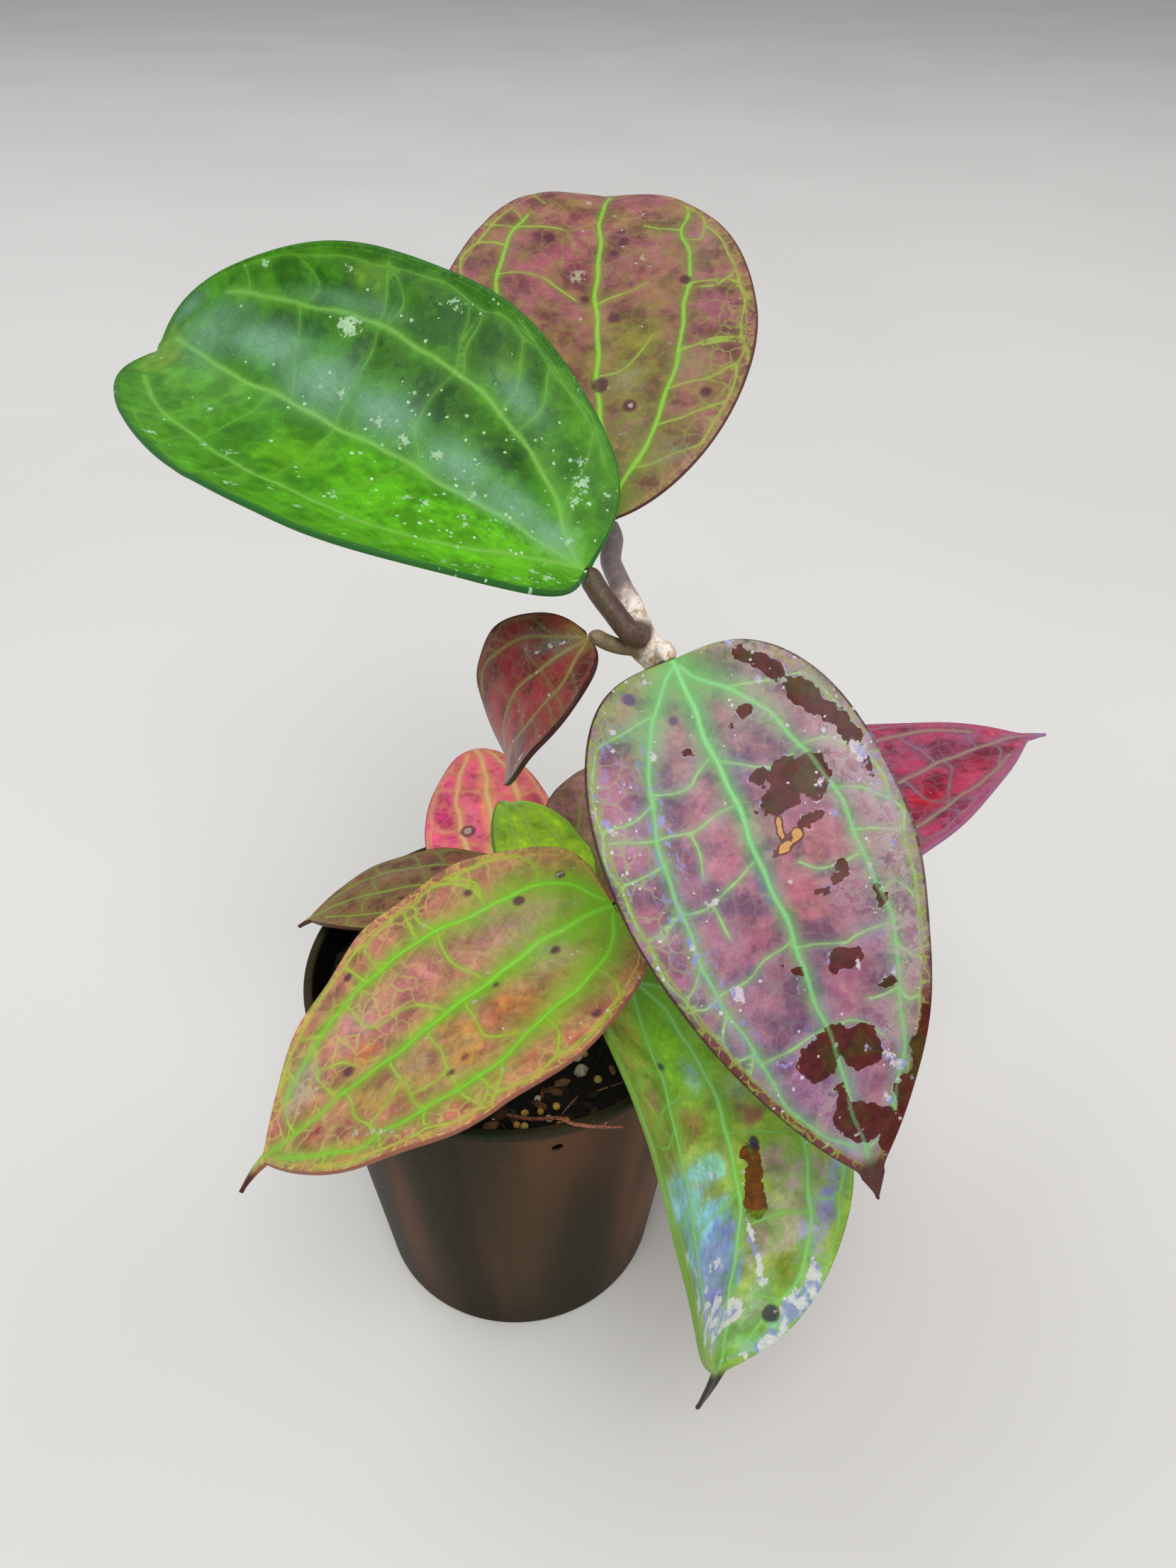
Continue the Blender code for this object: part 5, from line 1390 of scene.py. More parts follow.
def read_places(g, look):
    """The blade's stored fields, and the noises that its looks share."""
    at = SimpleNamespace(plan=g.read("plan", "Vector"))
    at.main, at.cross, at.glow = g.split(g.read("veins", "Vector"))
    # The side offset stays exact between points, so it gives thin lines; far from them the gap rules
    main_at, cross_at, main_half = g.split(g.read("lines", "Vector"))
    main_thin = g.math("SUBTRACT", g.math("ABSOLUTE", main_at), main_half)
    at.main = g.math("MAXIMUM", main_thin, g.add(at.main, -0.4))
    cross_thin = g.add(g.math("ABSOLUTE", cross_at), -0.85 * look.cross_width)
    at.cross = g.math("MAXIMUM", cross_thin, g.add(at.cross, -0.4))
    at.pool, at.spot, at.fleck = g.split(g.read("marks", "Vector"))
    at.glint, at.scar, at.eye = g.split(g.read("shine", "Vector"))
    at.edge, at.s, at.wet_sheen = g.split(g.read("lie", "Vector"))
    at.net, at.streak, at.glitter = g.split(g.read("areas", "Vector"))
    at.coarse = g.noise(at.plan, 0.11, 4.0, 0.55)
    at.other = g.noise(g.moved(at.plan, (71.0, 33.0, 5.0)), 0.15, 3.0, 0.55)
    at.medium = g.noise(at.plan, 0.42, 5.0, 0.66)
    at.fine = g.noise(at.plan, 1.4, 4.0, 0.65)
    at.patch = g.split(g.cells(g.warped(at.plan, 0.45, 2.6), 0.55, output="Color"))
    at.ragged = g.add(g.swing(at.medium, 1.3), g.swing(at.fine, 0.7))
    return at


def ground_tone(g, at, look):
    """Washes, cell hearts and mottling in patches with crisp outlines."""
    colour = g.read("wash", "Color")
    if look.heart:
        near = g.math("MINIMUM", at.main, at.cross)
        heart = g.times(g.ramp(g.add(near, at.ragged), 0.7, 3.4), look.heart_strength)
        colour = g.lay(heart, colour, look.heart)
    shift = g.swing(at.patch[0], 0.06)
    tint = g.times(g.ramp(g.add(at.other, shift), 0.47, 0.55), look.tint_strength)
    colour = g.lay(tint, colour, look.tint)
    clouds = g.add(g.times(at.coarse, 0.8), g.times(at.medium, 0.2))
    shift = g.swing(at.patch[1], 0.05)
    blotch = g.times(g.ramp(g.add(clouds, shift), 0.51, 0.57), look.blotch_strength)
    colour = g.lay(blotch, colour, look.blotch)
    colour = g.scaled(colour, g.ramp(at.coarse, 0.36, 0.62, 1.2, 0.82))
    colour = g.scaled(colour, g.ramp(at.medium, 0.3, 0.7, 1.0 - look.mottle, 1.0 + look.mottle))
    colour = g.scaled(colour, g.ramp(at.patch[2], 0.0, 1.0, 0.93, 1.07))
    return g.scaled(colour, g.ramp(at.fine, 0.3, 0.7, 1.0 - look.grain, 1.0 + look.grain))


def vein_tone(g, at, look, colour):
    """Soft glow along the veins, then the net and the veins as crisp lines."""
    halo = g.times(at.glow, g.ramp(g.add(at.other, g.times(at.medium, 0.4)), 0.5, 0.85, 0.6, 1.0))
    colour = g.lay(halo, colour, look.glow)
    side_halo = g.times(g.ramp(g.add(at.cross, at.ragged), -0.1, 1.5, 1.0, 0.0), look.halo_strength)
    colour = g.lay(side_halo, colour, look.glow)
    net_gap = g.cells(g.warped(at.plan, 0.3, 3.0), look.net_scale, "DISTANCE_TO_EDGE")
    net_gap = g.add(net_gap, g.swing(at.fine, 0.05))
    net = g.times(g.ramp(net_gap, look.net_width * 0.4, look.net_width * 1.5, 1.0, 0.0), at.net)
    colour = g.lay(net, colour, look.net)
    cross_line = g.ramp(g.add(at.cross, g.times(at.ragged, 0.4)), -0.06, 0.28, 1.0, 0.0)
    least = look.cross_strength * 0.5
    cross_line = g.times(cross_line, g.ramp(at.other, 0.4, 0.58, least, look.cross_strength))
    colour = g.lay(cross_line, colour, look.cross_vein)
    uneven_main = g.add(at.main, g.times(at.ragged, 0.5 + look.vein_soft))
    main_line = g.ramp(uneven_main, -0.5 * look.vein_soft, look.vein_soft, 1.0, 0.0)
    main_line = g.times(main_line, g.ramp(at.medium, 0.3, 0.7, 0.65, 0.95))
    colour = g.lay(main_line, colour, look.vein)
    core = g.ramp(g.add(at.main, g.times(at.ragged, 0.5)), -0.6, -0.12, 0.5, 0.0)
    pale = tuple(min(255, c * 1.1 + 18) for c in look.vein)
    return g.lay(core, colour, pale), net, main_line


def margin_tone(g, at, look, colour):
    """The band along the margin with its own net, the seam that closes it, the tip and the brink."""
    gap = g.add(at.edge, g.times(at.ragged, 1.2))
    rim = g.ramp(gap, look.rim_reach * 0.7, look.rim_reach * 1.1, 1.0, 0.0)
    if look.rim:
        band = g.times(rim, g.times(g.ramp(at.s, *look.rim_span), look.rim_strength))
        colour = g.lay(band, colour, look.rim)
    rim_gap = g.cells(g.warped(at.plan, 0.5, 1.8), look.rim_scale, "DISTANCE_TO_EDGE")
    rim_net = g.times(g.ramp(rim_gap, 0.03, 0.1, 1.0, 0.0), rim)
    seam = g.ramp(g.math("ABSOLUTE", g.add(gap, -look.rim_reach)), 0.1, 0.36, 1.0, 0.0)
    rim_net = g.times(g.math("MAXIMUM", rim_net, seam), g.ramp(at.medium, 0.34, 0.56, 0.3, 1.0))
    colour = g.lay(g.times(rim_net, look.margin_net_strength), colour, look.margin_net)
    brink = g.ramp(g.add(at.edge, g.times(at.ragged, 0.4)), look.brink * 0.5, look.brink * 1.3, 1.0, 0.0)
    colour = g.lay(g.times(brink, 0.92), colour, look.margin)
    end = g.ramp(g.add(at.s, g.times(at.ragged, 0.01)), look.tip_from, look.tip_from + 0.03, 0.0, 0.94)
    return g.lay(end, colour, look.tip), rim_net


def wet_sheen_tone(g, at, look, colour):
    """Painted sheen on the wet surface in crisp-edged sheets, painted highlights along its ripples, and
    painted bluish reflections in streaks that run along the blade.
    """
    waves = g.noise(g.warped(at.plan, 0.35, 3.6), 0.36, 5.0, 0.7)
    sheet = g.ramp(g.add(waves, g.swing(at.patch[1], 0.05)), 0.475, 0.53)
    # Painted sheen, laid over the blade's colour
    painted_sheen = g.times(at.wet_sheen, g.blend(sheet, look.wet_sheen_even, 1.0))
    colour = g.lay(g.times(painted_sheen, 0.85), colour, look.wet_sheen)
    # Painted highlights along the sheen's ripples
    ripple_highlight = g.ramp(g.math("ABSOLUTE", g.add(waves, -0.5)), 0.002, 0.014, 1.0, 0.0)
    ripple_highlight = g.times(g.times(ripple_highlight, at.wet_sheen), g.ramp(at.fine, 0.42, 0.58))
    colour = g.lay(g.times(ripple_highlight, 0.7), colour, look.ripple_highlight)
    # Painted bluish reflections in streaks along the blade
    drawn_out = g.stretched(at.plan, (1.0, 0.45, 1.0))
    dashes = g.noise(g.warped(drawn_out, 0.5, 2.0), 0.75, 4.0, 0.7)
    streak = g.times(g.ramp(dashes, 0.54, 0.6), at.streak)
    colour = g.lay(streak, colour, look.streak)
    return colour, g.math("MAXIMUM", painted_sheen, streak), waves


def pool_tone(g, at, look, colour, main_line):
    """Dark wet pools with angular outlines and thin glints at their brink, and crisp highlights."""
    jag = g.noise(at.plan, 0.26, 2.0, 0.6)
    jagged = g.add(g.swing(jag, 4.2), g.swing(at.patch[0], 0.3))
    jagged = g.add(jagged, g.swing(at.medium, 1.4))
    gap = g.add(at.pool, jagged)
    wet = g.ramp(gap, -0.08, 0.08)
    tone = g.mix(g.ramp(at.coarse, 0.53, 0.6), linear(look.pool), linear(look.pool_tint))
    tone = g.scaled(tone, g.ramp(at.medium, 0.3, 0.7, 0.55, 1.25))
    colour = g.mix(g.times(wet, g.blend(main_line, 0.96, 0.5)), colour, tone)
    # Painted glints along part of each pool's brink
    brink = g.ramp(g.math("ABSOLUTE", g.add(gap, 0.12)), 0.03, 0.14, 1.0, 0.0)
    brink = g.times(brink, g.ramp(g.noise(at.plan, 0.45, 1.0), 0.52, 0.6))
    # Painted crisp highlights where the glint blobs lie
    bright = g.add(at.glint, g.add(g.times(jagged, 0.5), g.times(g.add(at.medium, -0.56), 4.5)))
    glint = g.times(g.ramp(bright, -0.1, 0.2), g.ramp(at.fine, 0.36, 0.6, 0.6, 0.95))
    glint = g.math("MAXIMUM", g.times(brink, 0.6), glint)
    glint_tone = g.mix(g.ramp(jag, 0.42, 0.56), linear(look.streak), linear(look.glint))
    colour = g.mix(glint, colour, glint_tone)
    scar = g.add(at.scar, g.times(jagged, 0.45))
    colour = g.lay(g.ramp(scar, -0.4, -0.25, 0.0, 0.8), colour, SCAR_EDGE)
    colour = g.lay(g.ramp(scar, -0.02, 0.12), colour, SCAR_HEART)
    return colour, wet


def mark_tone(g, at, look, colour):
    """Spots with some pale hearts, splattered flecks, tiny dust specks, and painted sparkle highlights among
    them.
    """
    gap = g.add(at.spot, g.times(at.ragged, 0.9))
    colour = g.lay(g.ramp(gap, -0.7, 0.4, 0.0, 0.88), colour, look.spot)
    colour = g.lay(g.ramp(g.add(at.eye, at.ragged), -0.15, 0.25, 0.0, 0.85), colour, look.spot_heart)
    splatter = g.noise(at.plan, 0.8, 3.0, 0.7)
    fleck = g.ramp(g.add(at.fleck, g.times(g.add(splatter, -0.56), 9.0)), -0.15, 0.2)
    chosen = g.split(g.cells(at.plan, 0.85, output="Color"))
    dot = g.cells(g.warped(at.plan, 1.6, 0.5), 0.85, output="Distance")
    crowd = g.ramp(g.noise(at.plan, 0.09, 3.0), 0.42, 0.64, 0.05, 0.5)
    along = g.ramp(at.s, look.dust_reach[0] - 0.05, look.dust_reach[1], look.dust, 0.15 * look.dust)
    # Tiny white dust specks, and painted sparkle highlights where the sparkle areas lie
    share = g.add(g.times(crowd, along), g.times(at.glitter, 0.55))
    size = g.add(g.times(g.times(chosen[0], chosen[0]), 0.34), 0.06)
    dust_and_sparkle = g.times(g.math("LESS_THAN", dot, size), g.math("LESS_THAN", chosen[1], share))
    white = g.math("MAXIMUM", fleck, dust_and_sparkle)
    tone = g.mix(g.ramp(splatter, 0.4, 0.7), linear(look.fleck), linear(look.fleck_shade))
    return g.mix(g.times(white, 0.85), colour, tone), white


def leaf_face(name, look):
    """The upper face: ground, net, veins, margin, painted sheen and bluish reflections, wet pools with
    painted glints, spots and flecks.
    """
    g = Graph(name)
    at = read_places(g, look)
    colour = ground_tone(g, at, look)
    colour, net, main_line = vein_tone(g, at, look, colour)
    colour, rim_net = margin_tone(g, at, look, colour)
    colour, painted_sheen, waves = wet_sheen_tone(g, at, look, colour)
    colour, wet = pool_tone(g, at, look, colour, main_line)
    colour, white = mark_tone(g, at, look, colour)
    rough = g.blend(painted_sheen, look.rough, 0.24)
    rough = g.blend(white, g.blend(wet, rough, 0.36), 0.55)
    g.set(Base_Color=colour, Roughness=rough, Specular_IOR_Level=look.gloss)
    height = g.add(g.times(at.fine, 0.5), g.times(g.noise(at.plan, 3.4, 2.0), 0.18))
    height = g.add(height, g.times(at.medium, 0.5))
    height = g.add(height, g.times(g.add(net, rim_net), -0.25))
    height = g.times(height, g.blend(wet, 1.0, 0.12))
    height = g.add(height, g.times(g.times(waves, at.wet_sheen), 2.0))
    height = g.add(height, g.times(white, 0.5))
    g.bump(height, 0.00024, 0.6)
    return g.material


def leaf_back(name, look):
    """The underside: paler and duller, with the same veins."""
    g = Graph(name)
    plan = g.read("plan", "Vector")
    main, cross, glow = g.split(g.read("veins", "Vector"))
    medium = g.noise(plan, 0.25, 4.0, 0.6)
    fine = g.noise(plan, 1.4, 3.0, 0.6)
    ragged = g.add(medium, -0.5)
    colour = g.mix(0.65, g.read("wash", "Color"), linear(look.under))
    colour = g.lay(g.ramp(medium, 0.4, 0.7, 0.0, 0.35), colour, look.blotch)
    cross_line = g.ramp(g.add(cross, ragged), -0.3, 0.35, 0.4, 0.0)
    colour = g.lay(cross_line, colour, look.cross_vein)
    main_line = g.ramp(g.add(main, ragged), -0.5, 0.5, 0.6, 0.0)
    colour = g.lay(main_line, colour, look.vein)
    colour = g.lay(g.times(glow, 0.3), colour, look.glow)
    g.set(Base_Color=colour, Roughness=g.ramp(fine, 0.3, 0.7, 0.45, 0.6))
    g.bump(g.add(fine, main_line), 0.0002, 0.5)
    return g.material


def petiole_end(leaf, back):
    """A place behind the blade's base, level with the middle of its thickness there."""
    frame = start_frame(leaf)
    return tuple(Vector(leaf.base) - frame.col[0] * back - frame.col[2] * (KEEL / 2))


def tube(points, radii, step, sides):
    """Points and faces of a round closed tube, and the centre line's places."""
    spans = np.array(points, float)
    counts = max(2, int(np.mean(np.linalg.norm(np.diff(spans, axis=0), axis=1)) / step))
    line = curve_through(spans, counts)
    keys = np.linspace(0.0, len(points) - 1.0, len(line))
    radius = np.interp(keys, range(len(radii)), radii)
    along = unit(np.gradient(line, axis=0))
    side = unit(np.cross(along, np.array([0.31, 0.87, 0.38])))
    other = np.cross(along, side)
    angle = np.linspace(0.0, 2 * math.pi, sides, endpoint=False)
    ring = side[:, None] * np.cos(angle)[None, :, None] + other[:, None] * np.sin(angle)[None, :, None]
    verts = (line[:, None] + ring * radius[:, None, None]).reshape(-1, 3)
    index = np.arange(len(line) * sides).reshape(len(line), sides)
    ahead = np.roll(index, -1, axis=1)
    faces = np.stack([index[:-1], ahead[:-1], ahead[1:], index[1:]], axis=-1).reshape(-1, 4).tolist()
    faces.append(index[0][::-1].tolist())
    faces.append(index[-1].tolist())
    return verts, faces, line


def joined(shapes):
    """Points and faces of several tubes as those of one mesh."""
    verts, faces, start = [], [], 0
    for points, polygons, _ in shapes:
        verts.append(points)
        faces += [[i + start for i in polygon] for polygon in polygons]
        start += len(points)
    return np.vstack(verts), faces


def remeshed(name, verts, faces, voxel):
    """The shapes fused into one skin by a voxel remesh, then smoothed."""
    mesh = bpy.data.meshes.new(name)
    mesh.from_pydata((verts * MM).tolist(), [], faces)
    obj = bpy.data.objects.new(name, mesh)
    bpy.context.scene.collection.objects.link(obj)
    remesh = obj.modifiers.new("skin", "REMESH")
    remesh.mode = "VOXEL"
    remesh.voxel_size = voxel * MM
    smoothing = obj.modifiers.new("smooth", "SMOOTH")
    smoothing.factor = 0.5
    smoothing.iterations = 4
    bpy.context.view_layer.update()
    graph = bpy.context.evaluated_depsgraph_get()
    result = bpy.data.meshes.new_from_object(obj.evaluated_get(graph))
    bpy.data.objects.remove(obj)
    result.name = name
    result.shade_smooth()
    return result


def mesh_points(mesh):
    flat = np.empty(len(mesh.vertices) * 3, np.float32)
    mesh.vertices.foreach_get("co", flat)
    return flat.reshape(-1, 3).astype(float) / MM


def mesh_normals(mesh):
    flat = np.empty(len(mesh.vertices) * 3, np.float32)
    mesh.vertex_normals.foreach_get("vector", flat)
    return flat.reshape(-1, 3).astype(float)


def roughened(mesh, heights):
    points = mesh_points(mesh) + mesh_normals(mesh) * heights[:, None]
    mesh.vertices.foreach_set("co", (points * MM).astype(np.float32).ravel())
    mesh.update()


def vine_tubes(route, radii, petioles, bark, extra):
    """Tubes of the stem, its petioles and its buds, each with its tone and whether it is corky."""
    tubes = [(tube(route, radii, STEM_STEP, STEM_SIDES), bark, True)]
    for name, (points, radius, run, tone) in petioles.items():
        leaf = LEAVES[name]
        line = list(points) + [petiole_end(leaf, run), petiole_end(leaf, leaf.seat)]
        sizes = [radius * 1.15] + [radius] * (len(line) - 2) + [min(radius, PETIOLE_END_R)]
        tubes.append((tube(line, sizes, STEM_STEP, PETIOLE_SIDES), tone, name in CORKY_PETIOLES))
    return tubes + [(shape, tone, False) for shape, tone in extra]


def bark_fields(points, tubes):
    """The colour at each point, mixed from the tubes near it, and how corky it is there."""
    colour = np.zeros((len(points), 3))
    total, cork = np.zeros(len(points)), np.zeros(len(points))
    for (_, _, line), tone, corky in tubes:
        gap = np.full(len(points), 99.0)
        for place in line[::2]:
            gap = np.minimum(gap, np.linalg.norm(points - place, axis=1))
        weight = np.exp(-((gap / 1.3) ** 2)) + 1e-9
        colour += np.array(linear(tone)) * weight[:, None]
        total += weight
        if corky:
            cork += weight
    return colour / total[:, None], cork / total


def make_vine(node, route, radii, petioles, bark, extra=()):
    """A stem with its petioles, fused, coloured by what each place belongs to."""
    tubes = vine_tubes(route, radii, petioles, bark, extra)
    mesh = remeshed(node + "_fine", *joined([shape for shape, _, _ in tubes]), STEM_VOXEL)
    points = mesh_points(mesh)
    colour, cork = bark_fields(points, tubes)
    lumps = np.array([noise.noise(Vector(p) * 0.9) + 0.6 * noise.noise(Vector(p) * 2.6) for p in points])
    ridges = np.array([noise.noise(Vector((p[0] * 1.6, p[1] * 1.6, p[2] * 0.35))) for p in points])
    roughened(mesh, cork * (0.16 * lumps + 0.16 * ridges) + (1 - cork) * 0.05 * lumps)
    set_point_data(mesh, "bark", "FLOAT_COLOR", np.column_stack([colour, np.ones(len(points))]))
    set_point_data(mesh, "cork", "FLOAT", cork)
    add_piece(node + "_fine", mesh, [bark_finish(node + "_bark")], node)


def bark_finish(name):
    """Pale cracked cork on the stem, darker smooth skin with olive mottling on the petioles."""
    g = Graph(name)
    place = g.object_place()
    cork = g.read("cork")
    broad = g.noise(place, 0.35, 4.0, 0.65)
    fine = g.noise(place, 1.8, 4.0, 0.65)
    streak = g.noise(g.stretched(place, (1.0, 1.0, 0.22)), 1.6, 3.0, 0.6)
    colour = g.read("bark", "Color")
    pale = g.times(g.ramp(broad, 0.4, 0.52), g.times(cork, 0.95))
    colour = g.lay(pale, colour, CORK_PALE)
    crack = g.times(g.ramp(streak, 0.54, 0.64), g.times(cork, 0.5))
    colour = g.lay(crack, colour, CORK_CRACK)
    dark = g.times(g.ramp(fine, 0.55, 0.7), g.ramp(cork, 0.0, 0.6, 0.5, 0.3))
    colour = g.lay(dark, colour, BARK_DARK)
    green = g.times(g.ramp(g.noise(place, 0.22, 3.0, 0.6), 0.46, 0.56), g.ramp(cork, 0.0, 0.5, 0.45, 0.0))
    colour = g.lay(green, colour, BARK_OLIVE)
    pale = g.times(g.ramp(broad, 0.52, 0.66), g.ramp(cork, 0.0, 0.5, 0.28, 0.0))
    colour = g.lay(pale, colour, BARK_BLOOM)
    g.set(Base_Color=colour, Roughness=g.ramp(cork, 0.2, 0.8, 0.32, 0.8))
    g.bump(g.add(fine, g.times(streak, 0.8)), 0.0003, 0.7)
    return g.material


def soil_height(x, y):
    """Height of the soil's top at a place, with its low bumps."""
    bumps = (
        math.sin(0.31 * x + 0.6) * math.cos(0.27 * y - 0.4)
        + 0.6 * math.sin(0.53 * x - 0.41 * y)
        + 0.4 * math.cos(0.83 * y + 0.35 * x)
    )
    return SOIL_TOP + SOIL_BUMP * bumps * 0.6


def pot_outer_radius(z):
    return POT_FOOT_R + (POT_BODY_R - POT_FOOT_R) * z / POT_HEIGHT


def lump(draw, place, sizes, roughness):
    """Points and faces of one irregular grain."""
    work = bmesh.new()
    turn = Matrix.Rotation(draw.uniform(0, 6.28), 3, "Z") @ Matrix.Rotation(draw.uniform(-0.5, 0.5), 3, "X")
    bmesh.ops.create_icosphere(work, subdivisions=GRAIN_DETAIL, radius=1.0)
    seed = Vector((draw.uniform(0, 50), draw.uniform(0, 50), draw.uniform(0, 50)))
    points = []
    for vertex in work.verts:
        push = 1.0 + roughness * noise.noise(vertex.co * 1.6 + seed)
        shaped = Vector((vertex.co.x * sizes[0], vertex.co.y * sizes[1], vertex.co.z * sizes[2]))
        points.append(tuple(Vector(place) + turn @ (shaped * push)))
    faces = [[v.index for v in face.verts] for face in work.faces]
    work.free()
    return np.array(points), faces


def scattered_grains(draw, top_r):
    """Loose grains at random places, clear of the stems and the pot's wall."""
    grains = []
    for count, kind, low, high in GRAIN_COUNTS:
        for _ in range(count):
            reach = GRAIN_REACH * math.sqrt(draw.uniform(0.0, 1.0))
            angle = draw.uniform(-math.pi, math.pi)
            size = draw.uniform(low, high)
            x, y = reach * math.cos(angle), reach * math.sin(angle)
            feet = (TALL_STEM_FOOT, SHORT_STEM_FOOT)
            near_stem = any(math.hypot(x - a, y - b) < STEM_CLEARANCE for a, b in feet)
            if not near_stem and reach + size * GRAIN_KINDS[kind][0] * 1.3 < top_r:
                grains.append((x, y, size, kind))
    return grains


def soil_radius(z):
    """The mix's radius at a height, just clear of the pot's wall."""
    return pot_outer_radius(z) - WALL - GAP - 0.1


def soil_points(top_r):
    """Points of the mix: its middle, the rings of its crumbly top, then its foot's ring and middle."""
    foot_z = FLOOR + GAP
    foot_r = soil_radius(foot_z)
    angles = [2 * math.pi * k / SOIL_SIDES for k in range(SOIL_SIDES)]
    points = [(0.0, 0.0, soil_height(0.0, 0.0))]
    for i in range(1, SOIL_RINGS + 1):
        r = top_r * (i / SOIL_RINGS) ** 0.85
        stay = min(1.0, (top_r - r) / 1.5)
        for angle in angles:
            x, y = r * math.cos(angle), r * math.sin(angle)
            p = Vector((x, y, 0.0))
            crumb = 1.5 * noise.noise(p * 0.28) + 1.0 * abs(noise.noise(p * 0.7)) + 0.6 * noise.noise(p * 1.7)
            points.append((x, y, soil_height(x, y) - 0.4 + stay * crumb * 0.75))
    points += [(foot_r * math.cos(angle), foot_r * math.sin(angle), foot_z) for angle in angles]
    return points + [(0.0, 0.0, foot_z)]


def soil_faces():
    """Faces between the points of the mix, ring by ring."""
    faces = []
    foot = 1 + SOIL_RINGS * SOIL_SIDES
    for k in range(SOIL_SIDES):
        after = (k + 1) % SOIL_SIDES
        faces.append([0, 1 + k, 1 + after])
        for i in range(SOIL_RINGS):
            near, far = 1 + i * SOIL_SIDES, 1 + (i + 1) * SOIL_SIDES
            faces.append([near + k, far + k, far + after, near + after])
        faces.append([foot + k, foot + SOIL_SIDES, foot + after])
    return faces


def make_soil():
    """The mix with bark, perlite, prills and fibres sunk into its top."""
    top_r = soil_radius(SOIL_TOP)
    points, faces = [np.array(soil_points(top_r))], soil_faces()
    total = len(points[0])
    colours = [linear(SOIL_TONE)] * total
    draw = random.Random(GRAIN_SEED)
    for x, y, size, kind in GRAINS + scattered_grains(draw, top_r):
        long, wide, high, rough, tones = GRAIN_KINDS[kind]
        place = (x, y, soil_height(x, y) + (0.5 if kind == "fibre" else 0.35) * size * high)
        grain, polygons = lump(draw, place, (size * long, size * wide, size * high), rough)
        points.append(grain)
        faces += [[j + total for j in polygon] for polygon in polygons]
        colours += [linear(draw.choice(tones))] * len(grain)
        total += len(grain)
    mesh = bpy.data.meshes.new("soil_fine")
    mesh.from_pydata((np.vstack(points) * MM).tolist(), [], faces)
    mesh.shade_smooth()
    set_point_data(mesh, "tone", "FLOAT_COLOR", np.column_stack([np.array(colours), np.ones(total)]))
    add_piece("soil_fine", mesh, [soil_finish()], "soil")


def soil_finish():
    g = Graph("potting_mix_finish")
    place = g.object_place()
    broad = g.noise(place, 0.3, 5.0, 0.7)
    fine = g.noise(place, 1.3, 5.0, 0.7)
    colour = g.read("tone", "Color")
    colour = g.lay(g.ramp(broad, 0.5, 0.75, 0.0, 0.35), colour, SOIL_BROWN)
    colour = g.scaled(colour, g.ramp(fine, 0.3, 0.7, 0.55, 1.35))
    g.set(Base_Color=colour, Roughness=g.ramp(fine, 0.3, 0.7, 0.75, 0.95))
    g.bump(g.add(fine, broad), 0.0008, 0.8)
    return g.material


def arc(centre, radius, start, end, steps):
    """Points of a round corner in a profile, from one angle to another in degrees."""
    angles = [math.radians(start + (end - start) * i / steps) for i in range(steps + 1)]
    return [(centre[0] + radius * math.cos(a), centre[1] + radius * math.sin(a)) for a in angles]


def pot_section():
    """Radius and height along the pot's section, from the middle of its floor to that of its underside."""
    lip_z = POT_HEIGHT - RIM_DEPTH
    inner_foot = pot_outer_radius(FLOOR) - WALL - INNER_CORNER
    inner_top = pot_outer_radius(POT_HEIGHT) - WALL
    rim_z = POT_HEIGHT - RIM_CORNER
    section = [(0.0, FLOOR), (inner_foot, FLOOR)]
    section += arc((inner_foot, FLOOR + INNER_CORNER), INNER_CORNER, -90, 0, 4)
    section += [(inner_top, rim_z)]
    section += arc((inner_top + RIM_CORNER, rim_z), RIM_CORNER, 180, 90, 5)
    section += arc((RIM_R - RIM_CORNER, rim_z), RIM_CORNER, 90, 0, 5)
    section += [(RIM_R, lip_z + LIP_CORNER + 0.2)]
    section += arc((RIM_R - LIP_CORNER, lip_z + LIP_CORNER), LIP_CORNER, 0, -90, 4)
    section += [(pot_outer_radius(lip_z - 0.1), lip_z - 0.1), (pot_outer_radius(2.0), 2.0)]
    section += arc((POT_FOOT_R - FOOT_CORNER + 0.2, FOOT_CORNER), FOOT_CORNER, 0, -90, 6)
    return section + [(0.0, 0.0)]


def turned(name, section, sides):
    """A mesh made by turning a section around the z axis."""
    work = bmesh.new()
    points = [work.verts.new((r * MM, 0.0, z * MM)) for r, z in section]
    edges = [work.edges.new(pair) for pair in zip(points, points[1:])]
    bmesh.ops.spin(
        work, geom=points + edges, axis=(0, 0, 1), cent=(0, 0, 0), steps=sides, angle=2 * math.pi,
        use_merge=True,
    )
    bmesh.ops.remove_doubles(work, verts=work.verts, dist=0.00001)
    bmesh.ops.recalc_face_normals(work, faces=work.faces)
    mesh = bpy.data.meshes.new(name)
    work.to_mesh(mesh)
    work.free()
    return mesh


def add_cutters(collection, count, start, place, tilt, radius, length):
    """Equal cylinders around the pot's axis. The first is at a place turned by start degrees."""
    for i in range(count):
        spot = (
            Matrix.Rotation(math.radians(start + 360.0 / count * i), 4, "Z")
            @ Matrix.Translation([c * MM for c in place])
            @ Matrix.Rotation(math.radians(tilt), 4, "Y")
        )
        work = bmesh.new()
        bmesh.ops.create_cone(
            work, cap_ends=True, segments=HOLE_SIDES, radius1=radius * MM, radius2=radius * MM,
            depth=length * MM, matrix=spot,
        )
        mesh = bpy.data.meshes.new("cutter")
        work.to_mesh(mesh)
        work.free()
        collection.objects.link(bpy.data.objects.new("cutter", mesh))


